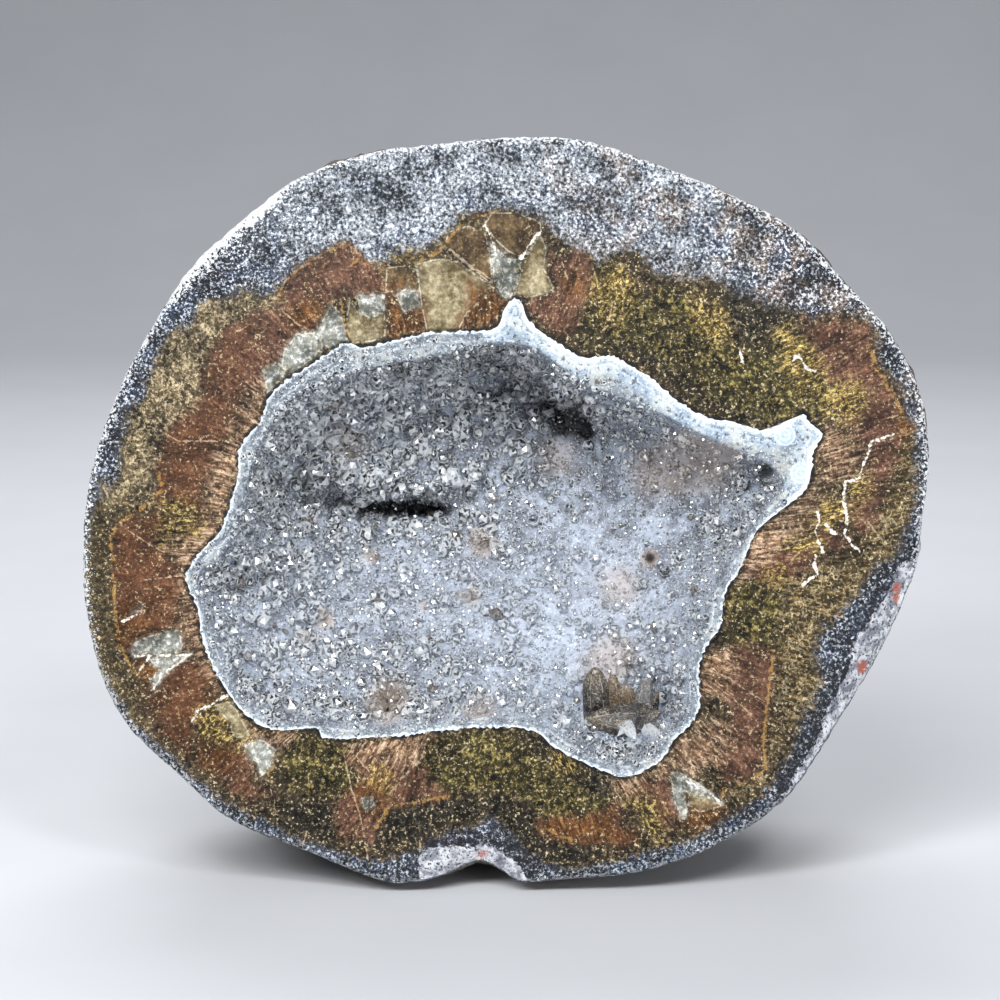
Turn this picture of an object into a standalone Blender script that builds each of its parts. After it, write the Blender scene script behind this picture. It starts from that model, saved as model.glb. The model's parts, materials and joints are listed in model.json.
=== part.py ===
# A cut half geode that leans back a little on a small ground flat.
# Three pieces: the rock with its hollow, the crystal crust that lines it,
# and a small group of smoky crystals that stands on the crust.
#
# Shapes are first laid out on the cut face. u runs to the right, v runs up
# along the face and w runs into the rock, all in metres. Outlines were read
# from the photograph, so they are written as its pixels (x right, y down).

import math
import random

import bpy
import numpy as np
from mathutils import Vector, noise
from mathutils.geometry import delaunay_2d_cdt

# Driving dimensions
MM = 0.001
FACE_WIDTH = 120 * MM            # across the cut face at its widest
BODY_DEPTH = 53 * MM             # cut face to the back of the nodule
LEAN = math.radians(10)          # how far the cut face leans back
EDGE_LIFT = 1.9 * MM             # the face's lowest edge above the floor
GAP = 0.4 * MM                   # clearance between neighbouring pieces
SUNK_GAP = 0.9 * MM              # clearance under the crust, where facets cut corners
CRUST_THICKNESS = 2.6 * MM       # crystal crust, away from its rim
WALL_RUN = 7 * MM                # how far in from the lip the hollow's walls reach full depth

# How finely each surface is cut into facets
SECTORS = 96
CAVITY_RINGS = (1.0, 0.965, 0.90, 0.78, 0.58, 0.32)
FACE_RINGS = (0.0, 0.45, 0.75, 0.9, 1.0)
BACK_RINGS = (0.05, 0.16, 0.30, 0.45, 0.60, 0.73, 0.84, 0.92, 0.975)
LATTICE_PITCH = 1.42 * MM        # spacing of the crust's points; every third one is a crystal tip
LATTICE_JITTER = 0.2             # how far a point strays from the regular lattice, as a share of it
CRYSTAL_HEIGHT = (0.5 * MM, 1.6 * MM)
STEEP_COSINE = 0.5               # on walls steeper than this the crystals are kept lower

# Pixel frame of the cut face
FACE_LEFT, FACE_RIGHT = 83, 929
FACE_CENTRE = (505, 510)
RAY_CENTRE = (480, 560)          # every outline below can be seen whole from here
BACK_CENTRE = (500, 560)         # the deepest point of the nodule's back lies behind this
PIXEL = FACE_WIDTH / (FACE_RIGHT - FACE_LEFT)

OUTLINE = [
    (515, 137), (586, 141), (656, 164), (732, 195), (797, 231), (847, 284), (891, 334),
    (920, 393), (929, 457), (922, 523), (918, 568), (885, 647), (835, 729), (788, 796),
    (723, 842), (644, 871), (553, 880), (520, 882), (500, 871), (478, 862), (452, 873),
    (420, 881), (382, 881), (309, 852), (232, 820), (177, 773), (124, 720), (93, 647),
    (83, 560), (90, 478), (115, 399), (150, 331), (194, 264), (256, 209), (303, 176),
    (373, 152), (440, 144),
]
RIM = [
    (514, 299), (522, 303), (531, 323), (565, 348), (587, 358), (614, 357), (652, 379),
    (672, 397), (705, 417), (734, 422), (765, 432), (800, 421), (823, 438), (810, 475),
    (796, 498), (757, 531), (742, 566), (725, 593), (720, 625), (700, 661), (698, 711),
    (673, 742), (658, 763), (627, 776), (599, 769), (556, 748), (528, 729), (464, 728),
    (384, 737), (327, 738), (314, 728), (271, 729), (236, 704), (206, 650), (197, 607),
    (186, 576), (204, 548), (222, 528), (237, 480), (241, 446), (261, 420), (273, 392),
    (323, 357), (345, 344), (366, 347), (425, 334), (492, 329), (504, 309),
]
LIP = [
    (515, 343), (540, 352), (590, 385), (650, 408), (710, 438), (765, 462), (785, 485),
    (765, 512), (733, 562), (712, 600), (708, 632), (690, 665), (688, 710), (664, 740),
    (640, 762), (612, 765), (573, 746), (528, 720), (464, 720), (384, 729), (327, 728),
    (271, 720), (240, 698), (208, 630), (196, 580), (227, 545), (243, 492), (258, 448),
    (280, 408), (330, 377), (397, 363), (449, 353), (492, 344),
]

# Depth of the hollow below the cut face, as x, y and millimetres
SOUNDINGS = [
    (300, 400, 13), (360, 390, 15), (440, 385, 18), (500, 380, 23), (550, 400, 25),
    (290, 450, 15), (350, 450, 18), (430, 450, 20), (500, 440, 23), (590, 430, 26),
    (280, 495, 18), (340, 500, 23), (400, 510, 27), (450, 505, 26), (520, 480, 24),
    (600, 385, 8), (650, 420, 11), (700, 450, 11), (740, 475, 10), (640, 460, 20),
    (600, 500, 22), (680, 510, 18), (730, 520, 11), (230, 580, 7), (270, 560, 13),
    (330, 560, 21), (420, 560, 22), (520, 550, 21), (620, 560, 18), (690, 570, 12),
    (250, 640, 9), (320, 630, 15), (420, 640, 16), (520, 640, 15), (620, 640, 14),
    (680, 640, 9), (280, 690, 7), (350, 690, 8), (440, 690, 7), (520, 690, 8),
    (600, 700, 11), (650, 700, 10), (620, 740, 8),
]
SOUNDING_SPREAD = 26             # pixels over which one sounding blends into the next

# Folds in the crust: a path, how far it deepens the hollow and how wide it is,
# with a swelling of the wall beside it
SLOT = [(300, 494), (370, 506), (440, 510)]
CREVICE = [(470, 352), (540, 388), (600, 425)]
FOLD_DEPTH = 4.5 * MM
FOLD_WIDTH = 11 * PIXEL
SWELL_SHIFT = (4, -24)
SWELL_HEIGHT = 2.5 * MM
SWELL_WIDTH = 20 * PIXEL
UNDERSIDE_WIDEN = 2.4            # the crust's underside follows the folds more broadly

# Broken edge at the lower right, and the natural dimple in the bottom edge
CHIP_START, CHIP_END = (900, 560), (790, 790)
CHIP_SLOPE = 0.8
DIMPLE_CENTRE = (478, 897)
DIMPLE_RADIUS = 48 * PIXEL
DIMPLE_SLOPE = 0.7

# Roundness of the back: low over the top, boxy towards the heel it rests on
TOP_POWER, HEEL_POWER = 2.1, 4.4
LUMP_HEIGHT = 1.8 * MM
LUMP_SIZE = 15 * MM
SMOOTHING = 4                    # sectors to each side over which a ring's corners are rounded off
ROUND_BACK_BY = 0.25             # share of the depth by which the back is fully rounded
ROUND_HOLLOW_BY = 0.22           # share of the way in by which the underside of the crust is

# The smoky crystals' seat, a flat patch on the crust's floor
SEAT_CENTRE = (622, 724)
SEAT_RADIUS = 6.4 * MM
SEAT_DEPTH = 8.4 * MM
SEAT_SLOPE = 0.6                 # how much deeper the seat gets for each unit upwards
SEAT_MARGIN = 2.0 * MM           # the seat fades out this near the lip

# Foot and tip in pixels, depth of each below the face in mm, half width and
# half thickness in mm, and the share of the length that is the pointed end.
# Each foot lies below the seat, which trims it.
SMOKY_CRYSTALS = [
    ("tall", (600, 738), (596, 672), 9.4, 6.6, 1.8, 1.6, 0.3),
    ("blade", (641, 726), (588, 721), 8.6, 5.4, 2.5, 1.6, 0.66),
    ("behind_left", (611, 722), (611, 681), 9.8, 8.0, 1.2, 1.2, 0.35),
    ("behind_middle", (628, 722), (631, 686), 9.8, 8.0, 1.2, 1.1, 0.4),
    ("behind_right", (641, 722), (652, 682), 9.8, 8.0, 1.3, 1.2, 0.4),
    ("low_right", (634, 732), (660, 708), 9.2, 6.4, 1.4, 1.3, 0.45),
    ("low_front", (626, 722), (633, 745), 9.0, 5.4, 1.2, 1.1, 0.5),
]

COLOURS = {
    "rock": ((0.20, 0.13, 0.06), 0.45),
    "crystal_crust": ((0.62, 0.66, 0.72), 0.15),
    "smoky_crystals": ((0.09, 0.07, 0.05), 0.2),
}


def on_face(points):
    """Photograph pixels as u, v on the cut face."""
    points = np.asarray(points, float).reshape(-1, 2)
    return np.column_stack([points[:, 0] - FACE_CENTRE[0], FACE_CENTRE[1] - points[:, 1]]) * PIXEL


def closed_curve(points, steps=12):
    """A smooth closed curve through the points (Catmull-Rom)."""
    p = on_face(points)
    before, after, beyond = np.roll(p, 1, 0), np.roll(p, -1, 0), np.roll(p, -2, 0)
    pieces = []
    for t in np.arange(steps) / steps:
        pieces.append(
            0.5 * (2 * p + (after - before) * t + (2 * before - 5 * p + 4 * after - beyond) * t**2
                   + (3 * p - before - 3 * after + beyond) * t**3)
        )
    return np.stack(pieces, 1).reshape(-1, 2)


def distance_to(curve, points, closed=True):
    """Shortest distance from each point to a polyline."""
    points = np.asarray(points, float).reshape(-1, 2)
    ends = np.roll(curve, -1, 0) if closed else curve[1:]
    starts = curve if closed else curve[:-1]
    nearest = np.full(len(points), np.inf)
    for a, b in zip(starts, ends):
        along = b - a
        t = np.clip((points - a) @ along / max(along @ along, 1e-18), 0, 1)
        nearest = np.minimum(nearest, np.hypot(*(points - a - t[:, None] * along).T))
    return nearest


def along_rays(curve, centre, angles):
    """Where rays from the centre meet a curve that can be seen whole from it."""
    arms = curve - centre
    bearing = np.unwrap(np.arctan2(arms[:, 1], arms[:, 0]))
    if bearing[-1] < bearing[0]:
        bearing, arms = bearing[::-1], arms[::-1]
    turns = np.concatenate([bearing - 2 * math.pi, bearing, bearing + 2 * math.pi])
    reach = np.tile(np.hypot(arms[:, 0], arms[:, 1]), 3)
    r = np.interp(angles, turns, reach)
    return centre + r[:, None] * np.column_stack([np.cos(angles), np.sin(angles)])


def sector_angles(centre):
    """Bearings that cut the rim and the outline, taken together, into equal lengths."""
    fine = np.linspace(-math.pi, math.pi, 2881)
    travelled = np.zeros(len(fine))
    for curve in (closed_curve(RIM), closed_curve(OUTLINE)):
        steps = np.hypot(*np.diff(along_rays(curve, centre, fine), axis=0).T)
        travelled[1:] += np.cumsum(steps)
    marks = np.arange(SECTORS) / SECTORS * travelled[-1]
    return np.interp(marks, travelled, fine)


def inside(curve, points):
    """Which points lie inside a closed curve."""
    x, y = np.asarray(points, float).reshape(-1, 2).T
    result = np.zeros(len(x), bool)
    for (ax, ay), (bx, by) in zip(curve, np.roll(curve, -1, 0)):
        if ay != by:
            crosses = (ay > y) != (by > y)
            result ^= crosses & (x < ax + (y - ay) * (bx - ax) / (by - ay))
    return result


def sounded_depth(points, widen=1):
    """Depth of the hollow blended from the soundings, with its two folds."""
    table = np.array(SOUNDINGS, float)
    spots = on_face(table[:, :2])
    spread = SOUNDING_SPREAD * PIXEL
    squared = ((points[:, None, :] - spots[None]) ** 2).sum(2)
    weight = np.exp(-squared / (2 * spread**2)) + 1e-9
    depth = weight @ (table[:, 2] * MM) / weight.sum(1)
    for fold in (SLOT, CREVICE):
        path = on_face(fold)
        swell = on_face(np.array(fold) + SWELL_SHIFT)
        from_fold = distance_to(path, points, False) / (FOLD_WIDTH * widen)
        from_swell = distance_to(swell, points, False) / SWELL_WIDTH
        depth += FOLD_DEPTH * np.exp(-(from_fold**2))
        depth -= SWELL_HEIGHT / widen * np.exp(-(from_swell**2))
    return depth


def wall(distance):
    """Share of the full depth reached at a distance in from an edge."""
    t = np.clip(distance / WALL_RUN, 0, 1)
    return 1 - (1 - t) ** 2.2


def seat_plane(points):
    """Depth of the smoky crystals' seat, extended beyond its edge."""
    centre = on_face(SEAT_CENTRE)[0]
    return SEAT_DEPTH + SEAT_SLOPE * (points[:, 1] - centre[1])


def seat_share(points, edge, blend=1.35):
    """1 on the seat, falling to 0 a little way outside it and towards the hollow's edge."""
    away = np.hypot(*(points - on_face(SEAT_CENTRE)[0]).T) / SEAT_RADIUS
    return np.clip((blend - away) / (blend - 1), 0, 1) * np.clip(edge / SEAT_MARGIN, 0, 1)


def front_depth(points, lip):
    """Depth of the crust's floor between its crystals."""
    edge = distance_to(lip, points)
    depth = sounded_depth(points) * wall(edge)
    share = seat_share(points, edge)
    return depth * (1 - share) + seat_plane(points) * share


def back_depth(points, rim):
    """Depth of the crust's underside, where it meets the rock."""
    edge = distance_to(rim, points)
    deeper = CRUST_THICKNESS * np.clip(edge / CRUST_THICKNESS, 0, 1)
    depth = sounded_depth(points, UNDERSIDE_WIDEN) * wall(edge)
    share = seat_share(points, edge, 1.6)
    return depth * (1 - share) + seat_plane(points) * share + deeper


def face_depth(points):
    """How far the cut face falls back at the broken edge and the dimple."""
    start, end = on_face([CHIP_START, CHIP_END])
    along = (end - start) / np.hypot(*(end - start))
    outward = np.array([-along[1], along[0]])
    chip = CHIP_SLOPE * np.clip((points - start) @ outward, 0, None)
    from_dimple = np.hypot(*(points - on_face(DIMPLE_CENTRE)[0]).T)
    dimple = DIMPLE_SLOPE * np.clip(DIMPLE_RADIUS - from_dimple, 0, None)
    return np.maximum(chip, dimple)


def rounded(ring, share):
    """A ring with its corners rounded off by a share from 0 to 1."""
    soft = np.mean([np.roll(ring, k, 0) for k in range(-SMOOTHING, SMOOTHING + 1)], axis=0)
    return ring + (soft - ring) * min(share, 1)


def back_ring(outline, depth_share):
    """One ring of the nodule's back, as u, v and w."""
    centre = on_face(BACK_CENTRE)[0]
    arms = rounded(outline, depth_share / ROUND_BACK_BY) - centre
    down = np.clip(-arms[:, 1] / np.hypot(arms[:, 0], arms[:, 1]), -1, 1)
    heel = np.clip(down, 0, 1) ** 1.5
    power = TOP_POWER + (HEEL_POWER - TOP_POWER) * heel
    reach = (1 - depth_share**power) ** (1 / power)
    return with_depth(centre + arms * reach[:, None], depth_share * BODY_DEPTH)


def lumpy(points, centre_depth=0.3):
    """Pushes points in or out from the nodule's middle by a slow natural noise."""
    middle = np.array([*on_face(BACK_CENTRE)[0], centre_depth * BODY_DEPTH])
    out = points - middle
    out /= np.linalg.norm(out, axis=1)[:, None]
    swell = np.array([noise.noise(Vector(p / LUMP_SIZE)) for p in points])
    fade = np.clip(points[:, 2] / (8 * MM), 0, 1)
    return points + out * (LUMP_HEIGHT * swell * fade)[:, None]


def stood_up(points, floor=None):
    """Face coordinates as world ones, with the face leaning back."""
    u, v, w = np.asarray(points, float).T
    low = on_face([(0, 881)])[0][1]
    x = u
    y = v * math.sin(LEAN) + w * math.cos(LEAN)
    z = (v - low) * math.cos(LEAN) - w * math.sin(LEAN) + EDGE_LIFT
    if floor is not None:
        z = np.maximum(z, floor)
    return np.column_stack([x, y, z])


def ring_faces(first, second, count):
    """Triangles between two rings of points, given where each ring starts."""
    faces = []
    for i in range(count):
        j = (i + 1) % count
        faces.append((first + i, second + i, second + j))
        faces.append((first + i, second + j, first + j))
    return faces


def fan_faces(ring, tip, count):
    """Triangles from a ring to one point."""
    return [(ring + i, tip, ring + (i + 1) % count) for i in range(count)]


def with_depth(points, depth):
    return np.column_stack([points, np.broadcast_to(depth, len(points))])


def bowl(rim, centre):
    """The crust's underside: rings from the rim down to the middle of the hollow."""
    rings = [with_depth(rim, 0)]
    for share in CAVITY_RINGS[1:]:
        ring = centre + (rounded(rim, (1 - share) / ROUND_HOLLOW_BY) - centre) * share
        rings.append(with_depth(ring, back_depth(ring, rim)))
    rings.append(with_depth(centre[None], back_depth(centre[None], rim)))
    faces = []
    for k in range(len(CAVITY_RINGS) - 1):
        faces += ring_faces(k * SECTORS, (k + 1) * SECTORS, SECTORS)
    last = (len(CAVITY_RINGS) - 1) * SECTORS
    faces += fan_faces(last, last + SECTORS, SECTORS)
    return np.concatenate(rings), faces


def sunk_bowl(rim, centre):
    """The same surface moved into the rock, square to itself."""
    points, faces = bowl(rim, centre)
    corners = points[np.array(faces)]
    slopes = np.cross(corners[:, 1] - corners[:, 0], corners[:, 2] - corners[:, 0])
    normals = np.zeros_like(points)
    for corner in np.array(faces).T:
        np.add.at(normals, corner, slopes)
    normals[:SECTORS, 2] = 0
    normals /= np.linalg.norm(normals, axis=1)[:, None] * np.sign(normals[-1, 2])
    clearance = np.full((len(points), 1), SUNK_GAP)
    clearance[:SECTORS] = GAP
    return points + normals * clearance, faces


def rock_surface(rim, outline, centre):
    """The rock: its hollow, then rings across the cut face and round the back."""
    hollow, faces = sunk_bowl(rim, centre)
    faces = [tuple(reversed(f)) for f in faces]
    opened = hollow[:SECTORS, :2]
    rings = []
    for share in FACE_RINGS[1:]:
        across = opened + (outline - opened) * share
        rings.append(with_depth(across, face_depth(across)))
    edge = face_depth(outline)
    for share in BACK_RINGS:
        ring = back_ring(outline, share)
        ring[:, 2] = np.maximum(ring[:, 2], edge + share * (BODY_DEPTH - edge))
        rings.append(lumpy(ring))
    back = with_depth(on_face(BACK_CENTRE), BODY_DEPTH)
    points = np.concatenate([hollow, *rings, lumpy(back)])
    first = len(hollow)
    faces += ring_faces(0, first, SECTORS)
    for k in range(len(rings) - 1):
        faces += ring_faces(first + k * SECTORS, first + (k + 1) * SECTORS, SECTORS)
    faces += fan_faces(first + (len(rings) - 1) * SECTORS, len(points) - 1, SECTORS)
    return stood_up(points, floor=0), faces


def outward_tilt(points, lip, step=0.2 * MM):
    """Unit vectors square to the hollow's floor, pointing out of it."""
    across = front_depth(points + [step, 0], lip) - front_depth(points - [step, 0], lip)
    upward = front_depth(points + [0, step], lip) - front_depth(points - [0, step], lip)
    normals = np.column_stack([across, upward, np.full(len(points), -2 * step)])
    return normals / np.linalg.norm(normals, axis=1)[:, None]


def lattice(lip, chance):
    """Points of an uneven triangular lattice inside the lip, and which of them are crystal tips."""
    low, high = lip.min(0), lip.max(0)
    row_height = LATTICE_PITCH * math.sqrt(3) / 2
    points, tips = [], []
    for row in range(int((high[1] - low[1]) / row_height) + 1):
        offset = 0.5 * (row % 2)
        for column in range(int((high[0] - low[0]) / LATTICE_PITCH) + 1):
            across, upward = (chance.uniform(-LATTICE_JITTER, LATTICE_JITTER) for _ in range(2))
            x = low[0] + (column + offset + across) * LATTICE_PITCH
            y = low[1] + row * row_height + upward * LATTICE_PITCH
            points.append((x, y))
            tips.append((column + (row + 1) // 2 + row) % 3 == 0)
    points, tips = np.array(points), np.array(tips)
    kept = inside(lip, points) & (distance_to(lip, points) > 0.55 * LATTICE_PITCH)
    return points[kept], tips[kept]


def crust_surface(rim, lip, centre):
    """The crust: faceted crystals in front, a flat rim on the cut face and a smooth underside."""
    chance = random.Random(7)
    inner, tips = lattice(lip, chance)
    flat = np.concatenate([lip, inner])
    edges = [(i, (i + 1) % SECTORS) for i in range(SECTORS)]
    _, _, triangles, original, _, _ = delaunay_2d_cdt([Vector(p) for p in flat], edges, [], 1, 1e-9)
    index = [group[0] for group in original]
    rise = np.array([chance.uniform(*CRYSTAL_HEIGHT) for _ in inner])
    edge = distance_to(lip, inner)
    rise *= tips * (1 - seat_share(inner, edge, 1.2)) * np.clip(edge / (1.5 * LATTICE_PITCH), 0, 1)
    outward = outward_tilt(inner, lip)
    rise *= np.clip(-outward[:, 2] / STEEP_COSINE, 0, 1)
    floor = with_depth(inner, front_depth(inner, lip))
    front = np.concatenate([with_depth(lip, 0), floor + outward * rise[:, None]])

    faces = []
    for triangle in triangles:
        a, b, c = (index[i] for i in triangle)
        turn = np.cross(flat[b] - flat[a], flat[c] - flat[a])
        faces.append((a, b, c) if turn > 0 else (a, c, b))
    underside, under_faces = bowl(rim, centre)
    first = len(front)
    faces += ring_faces(0, first, SECTORS)
    faces += [tuple(first + i for i in face) for face in under_faces]
    return stood_up(np.concatenate([front, underside])), faces


def crystal_surface(foot, tip, half_width, half_thickness, point_share):
    """A six-sided crystal with a pointed end, in world coordinates."""
    along = (tip - foot).normalized()
    facing = stood_up([(0, 0, 0)])[0] - stood_up([(0, 0, 1)])[0]
    side = along.cross(Vector(facing)).normalized()
    depth = along.cross(side)
    length = (tip - foot).length
    points = []
    for height, scale in ((0, 1), (length * (1 - point_share), 1), (length * (1 - point_share / 3), 0.6)):
        for k in range(6):
            angle = math.radians(60 * k + 30)
            across = side * (half_width * math.cos(angle)) + depth * (half_thickness * math.sin(angle))
            points.append(foot + along * height + across * scale)
    points += [foot, tip]
    faces = [tuple(reversed(f)) for f in fan_faces(0, 18, 6)]
    faces += ring_faces(0, 6, 6) + ring_faces(6, 12, 6) + fan_faces(12, 19, 6)
    return np.array(points), faces


def new_object(name, points, faces, helper=False):
    """A mesh object. A helper only shapes another object, and isn't shown."""
    mesh = bpy.data.meshes.new(name)
    mesh.from_pydata([tuple(p) for p in points], [], faces)
    mesh.update()
    made = bpy.data.objects.new(name, mesh)
    bpy.context.scene.collection.objects.link(made)
    if helper:
        made.hide_render = True
        made.display_type = "WIRE"
    return made


def facing_out(made):
    """Turns the faces over if the closed mesh has a negative volume."""
    mesh = made.data
    mesh.calc_loop_triangles()
    corners = np.array([[mesh.vertices[i].co for i in t.vertices] for t in mesh.loop_triangles])
    volume = np.einsum("ij,ij->i", corners[:, 0], np.cross(corners[:, 1], corners[:, 2])).sum() / 6
    if volume < 0:
        mesh.flip_normals()
    return made


def boolean(made, operation, other):
    modifier = made.modifiers.new(operation.lower(), "BOOLEAN")
    modifier.operation = operation
    modifier.object = other


def seat_block():
    """A block whose top is the seat, raised by the gap, for trimming the crystals."""
    reach, thick = 16 * MM, 14 * MM
    centre = on_face(SEAT_CENTRE)[0]
    corners = [(centre[0] + a * reach, centre[1] + b * reach) for a, b in ((-1, -1), (1, -1), (1, 1), (-1, 1))]
    flat = np.array(corners)
    top = seat_plane(flat) - GAP * math.hypot(1, SEAT_SLOPE)
    points = stood_up(np.concatenate([with_depth(flat, top), with_depth(flat, top + thick)]))
    faces = [(0, 1, 2, 3), (7, 6, 5, 4)] + [(i, i + 4, (i + 1) % 4 + 4, (i + 1) % 4) for i in range(4)]
    return facing_out(new_object("seat_block", points, faces, helper=True))


def smoky_group():
    """The smoky crystals, grown together as one piece and trimmed to their seat."""
    whole = None
    for name, foot, tip, foot_depth, tip_depth, half_width, half_thickness, point_share in SMOKY_CRYSTALS:
        ends = np.column_stack([on_face([foot, tip]), [foot_depth * MM, tip_depth * MM]])
        foot_at, tip_at = (Vector(end) for end in stood_up(ends))
        shape = crystal_surface(foot_at, tip_at, half_width * MM, half_thickness * MM, point_share)
        if whole is None:
            whole = facing_out(new_object("smoky_crystals", *shape))
        else:
            boolean(whole, "UNION", facing_out(new_object("smoky_" + name, *shape, helper=True)))
    boolean(whole, "DIFFERENCE", seat_block())
    return whole


def add_material(made):
    colour, roughness = COLOURS[made.name]
    material = bpy.data.materials.new(made.name)
    material.use_nodes = True
    shader = material.node_tree.nodes["Principled BSDF"]
    shader.inputs["Base Color"].default_value = (*colour, 1)
    shader.inputs["Roughness"].default_value = roughness
    shader.inputs["Metallic"].default_value = 0
    made.data.materials.append(material)


def centre_on_origin(pieces):
    """Puts the origin at the middle of the whole object's footprint, on the floor."""
    points = np.array([v.co for v in pieces["rock"].data.vertices])
    middle = (points.min(0) + points.max(0)) / 2
    for made in bpy.context.scene.objects:
        made.location = (-middle[0], -middle[1], 0)


def main():
    for old in list(bpy.data.objects):
        bpy.data.objects.remove(old)
    centre = on_face(RAY_CENTRE)[0]
    angles = sector_angles(centre)
    rim, lip, outline = (along_rays(closed_curve(c), centre, angles) for c in (RIM, LIP, OUTLINE))
    pieces = {
        "rock": facing_out(new_object("rock", *rock_surface(rim, outline, centre))),
        "crystal_crust": facing_out(new_object("crystal_crust", *crust_surface(rim, lip, centre))),
        "smoky_crystals": smoky_group(),
    }
    for made in pieces.values():
        add_material(made)
    centre_on_origin(pieces)


main()
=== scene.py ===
import json
import math
import random

import bpy
import numpy as np
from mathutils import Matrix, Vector, kdtree, noise
from mathutils.geometry import delaunay_2d_cdt

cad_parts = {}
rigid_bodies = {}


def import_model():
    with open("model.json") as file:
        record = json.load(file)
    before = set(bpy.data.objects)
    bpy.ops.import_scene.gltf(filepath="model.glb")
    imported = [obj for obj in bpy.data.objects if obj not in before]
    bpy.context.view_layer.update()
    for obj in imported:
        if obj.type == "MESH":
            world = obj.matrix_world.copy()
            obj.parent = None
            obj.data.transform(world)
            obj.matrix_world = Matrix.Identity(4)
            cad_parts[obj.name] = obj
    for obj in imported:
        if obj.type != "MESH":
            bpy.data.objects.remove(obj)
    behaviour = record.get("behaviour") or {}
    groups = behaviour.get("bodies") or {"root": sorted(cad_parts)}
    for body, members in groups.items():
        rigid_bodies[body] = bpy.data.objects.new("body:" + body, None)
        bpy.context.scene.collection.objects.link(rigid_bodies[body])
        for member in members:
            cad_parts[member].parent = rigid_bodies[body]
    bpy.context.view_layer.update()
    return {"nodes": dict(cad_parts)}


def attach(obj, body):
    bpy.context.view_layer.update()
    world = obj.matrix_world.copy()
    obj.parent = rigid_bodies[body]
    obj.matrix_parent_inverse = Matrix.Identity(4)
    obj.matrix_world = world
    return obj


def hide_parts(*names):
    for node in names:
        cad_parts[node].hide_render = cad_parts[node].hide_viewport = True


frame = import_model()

mm = 0.001
print("frame loaded")


# The cut face. u runs right, v up the face and w into the stone, in metres.
# Its outlines are read from the photograph, as pixels from the top left.
cut = {
    "left": 83,
    "right": 929,
    "low": 881,
    "middle": (505, 510),
    "width": 120 * mm,
    "lean": math.radians(10),
    "lift": 1.9 * mm,
    "rays": (480, 560),       # every outline can be seen whole from here
    "back": (500, 560),       # the deepest point of the back lies behind this
    "depth": 53 * mm,
    "sectors": 640,
    "drawnSteps": 6,          # pieces that each stretch between drawn points is cut into
}
pixel = cut["width"] / (cut["right"] - cut["left"])

outline = [
    (515, 137), (586, 141), (656, 164), (732, 195), (797, 231), (847, 284), (891, 334),
    (920, 393), (929, 457), (922, 523), (918, 568), (885, 647), (835, 729), (788, 796),
    (723, 842), (644, 871), (553, 880), (520, 882), (500, 871), (478, 862), (452, 873),
    (420, 881), (382, 881), (309, 852), (232, 820), (177, 773), (124, 720), (93, 647),
    (83, 560), (90, 478), (115, 399), (150, 331), (194, 264), (256, 209), (303, 176),
    (373, 152), (440, 144),
]
rim = [
    (514, 299), (522, 303), (531, 323), (565, 348), (587, 358), (614, 357), (652, 379),
    (672, 397), (705, 417), (734, 422), (765, 431), (788, 423), (801, 412), (808, 421),
    (822, 434), (813, 452), (811, 475), (804, 491), (794, 500), (757, 531), (742, 566),
    (725, 593), (720, 625), (700, 661), (698, 711),
    (673, 742), (658, 763), (627, 776), (599, 769), (556, 748), (528, 729), (464, 728),
    (384, 737), (327, 738), (314, 728), (271, 729), (236, 704), (206, 650), (197, 607),
    (186, 576), (204, 548), (222, 528), (237, 480), (241, 446), (261, 420), (273, 392),
    (323, 357), (345, 344), (366, 347), (425, 334), (492, 329), (504, 309),
]
lip = [
    (515, 343), (540, 352), (590, 385), (650, 408), (710, 438), (765, 462), (785, 485),
    (765, 512), (733, 562), (712, 600), (708, 632), (690, 665), (688, 710), (664, 740),
    (640, 762), (612, 765), (573, 746), (528, 720), (464, 720), (384, 729), (327, 728),
    (271, 720), (240, 698), (208, 630), (196, 580), (227, 545), (243, 492), (258, 448),
    (280, 408), (330, 377), (397, 363), (449, 353), (492, 344),
]


def onFace(points):
    points = np.asarray(points, float).reshape(-1, 2)
    x, y = cut["middle"]
    return np.column_stack([points[:, 0] - x, y - points[:, 1]]) * pixel


def inPixels(points):
    x, y = cut["middle"]
    return np.column_stack([points[:, 0] / pixel + x, y - points[:, 1] / pixel])


def smoothLoop(points, steps=cut["drawnSteps"]):  # a closed curve through the points
    p = np.asarray(points, float)
    before, after, beyond = np.roll(p, 1, 0), np.roll(p, -1, 0), np.roll(p, -2, 0)
    pieces = []
    for t in np.arange(steps) / steps:
        bend = (2 * before - 5 * p + 4 * after - beyond) * t**2
        twist = (3 * p - before - 3 * after + beyond) * t**3
        pieces.append(0.5 * (2 * p + (after - before) * t + bend + twist))
    return np.stack(pieces, 1).reshape(-1, 2)


def distanceTo(curve, points, closed=True):
    starts = curve if closed else curve[:-1]
    ends = np.roll(curve, -1, 0) if closed else curve[1:]
    nearest = np.full(len(points), np.inf)
    for a, b in zip(starts, ends):
        along = b - a
        t = np.clip((points - a) @ along / max(along @ along, 1e-18), 0, 1)
        away = points - a - t[:, None] * along
        nearest = np.minimum(nearest, np.hypot(away[:, 0], away[:, 1]))
    return nearest


def inside(curve, points):
    x, y = points.T
    result = np.zeros(len(x), bool)
    for (ax, ay), (bx, by) in zip(curve, np.roll(curve, -1, 0)):
        if ay != by:
            crosses = (ay > y) != (by > y)
            result ^= crosses & (x < ax + (y - ay) * (bx - ax) / (by - ay))
    return result


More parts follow.
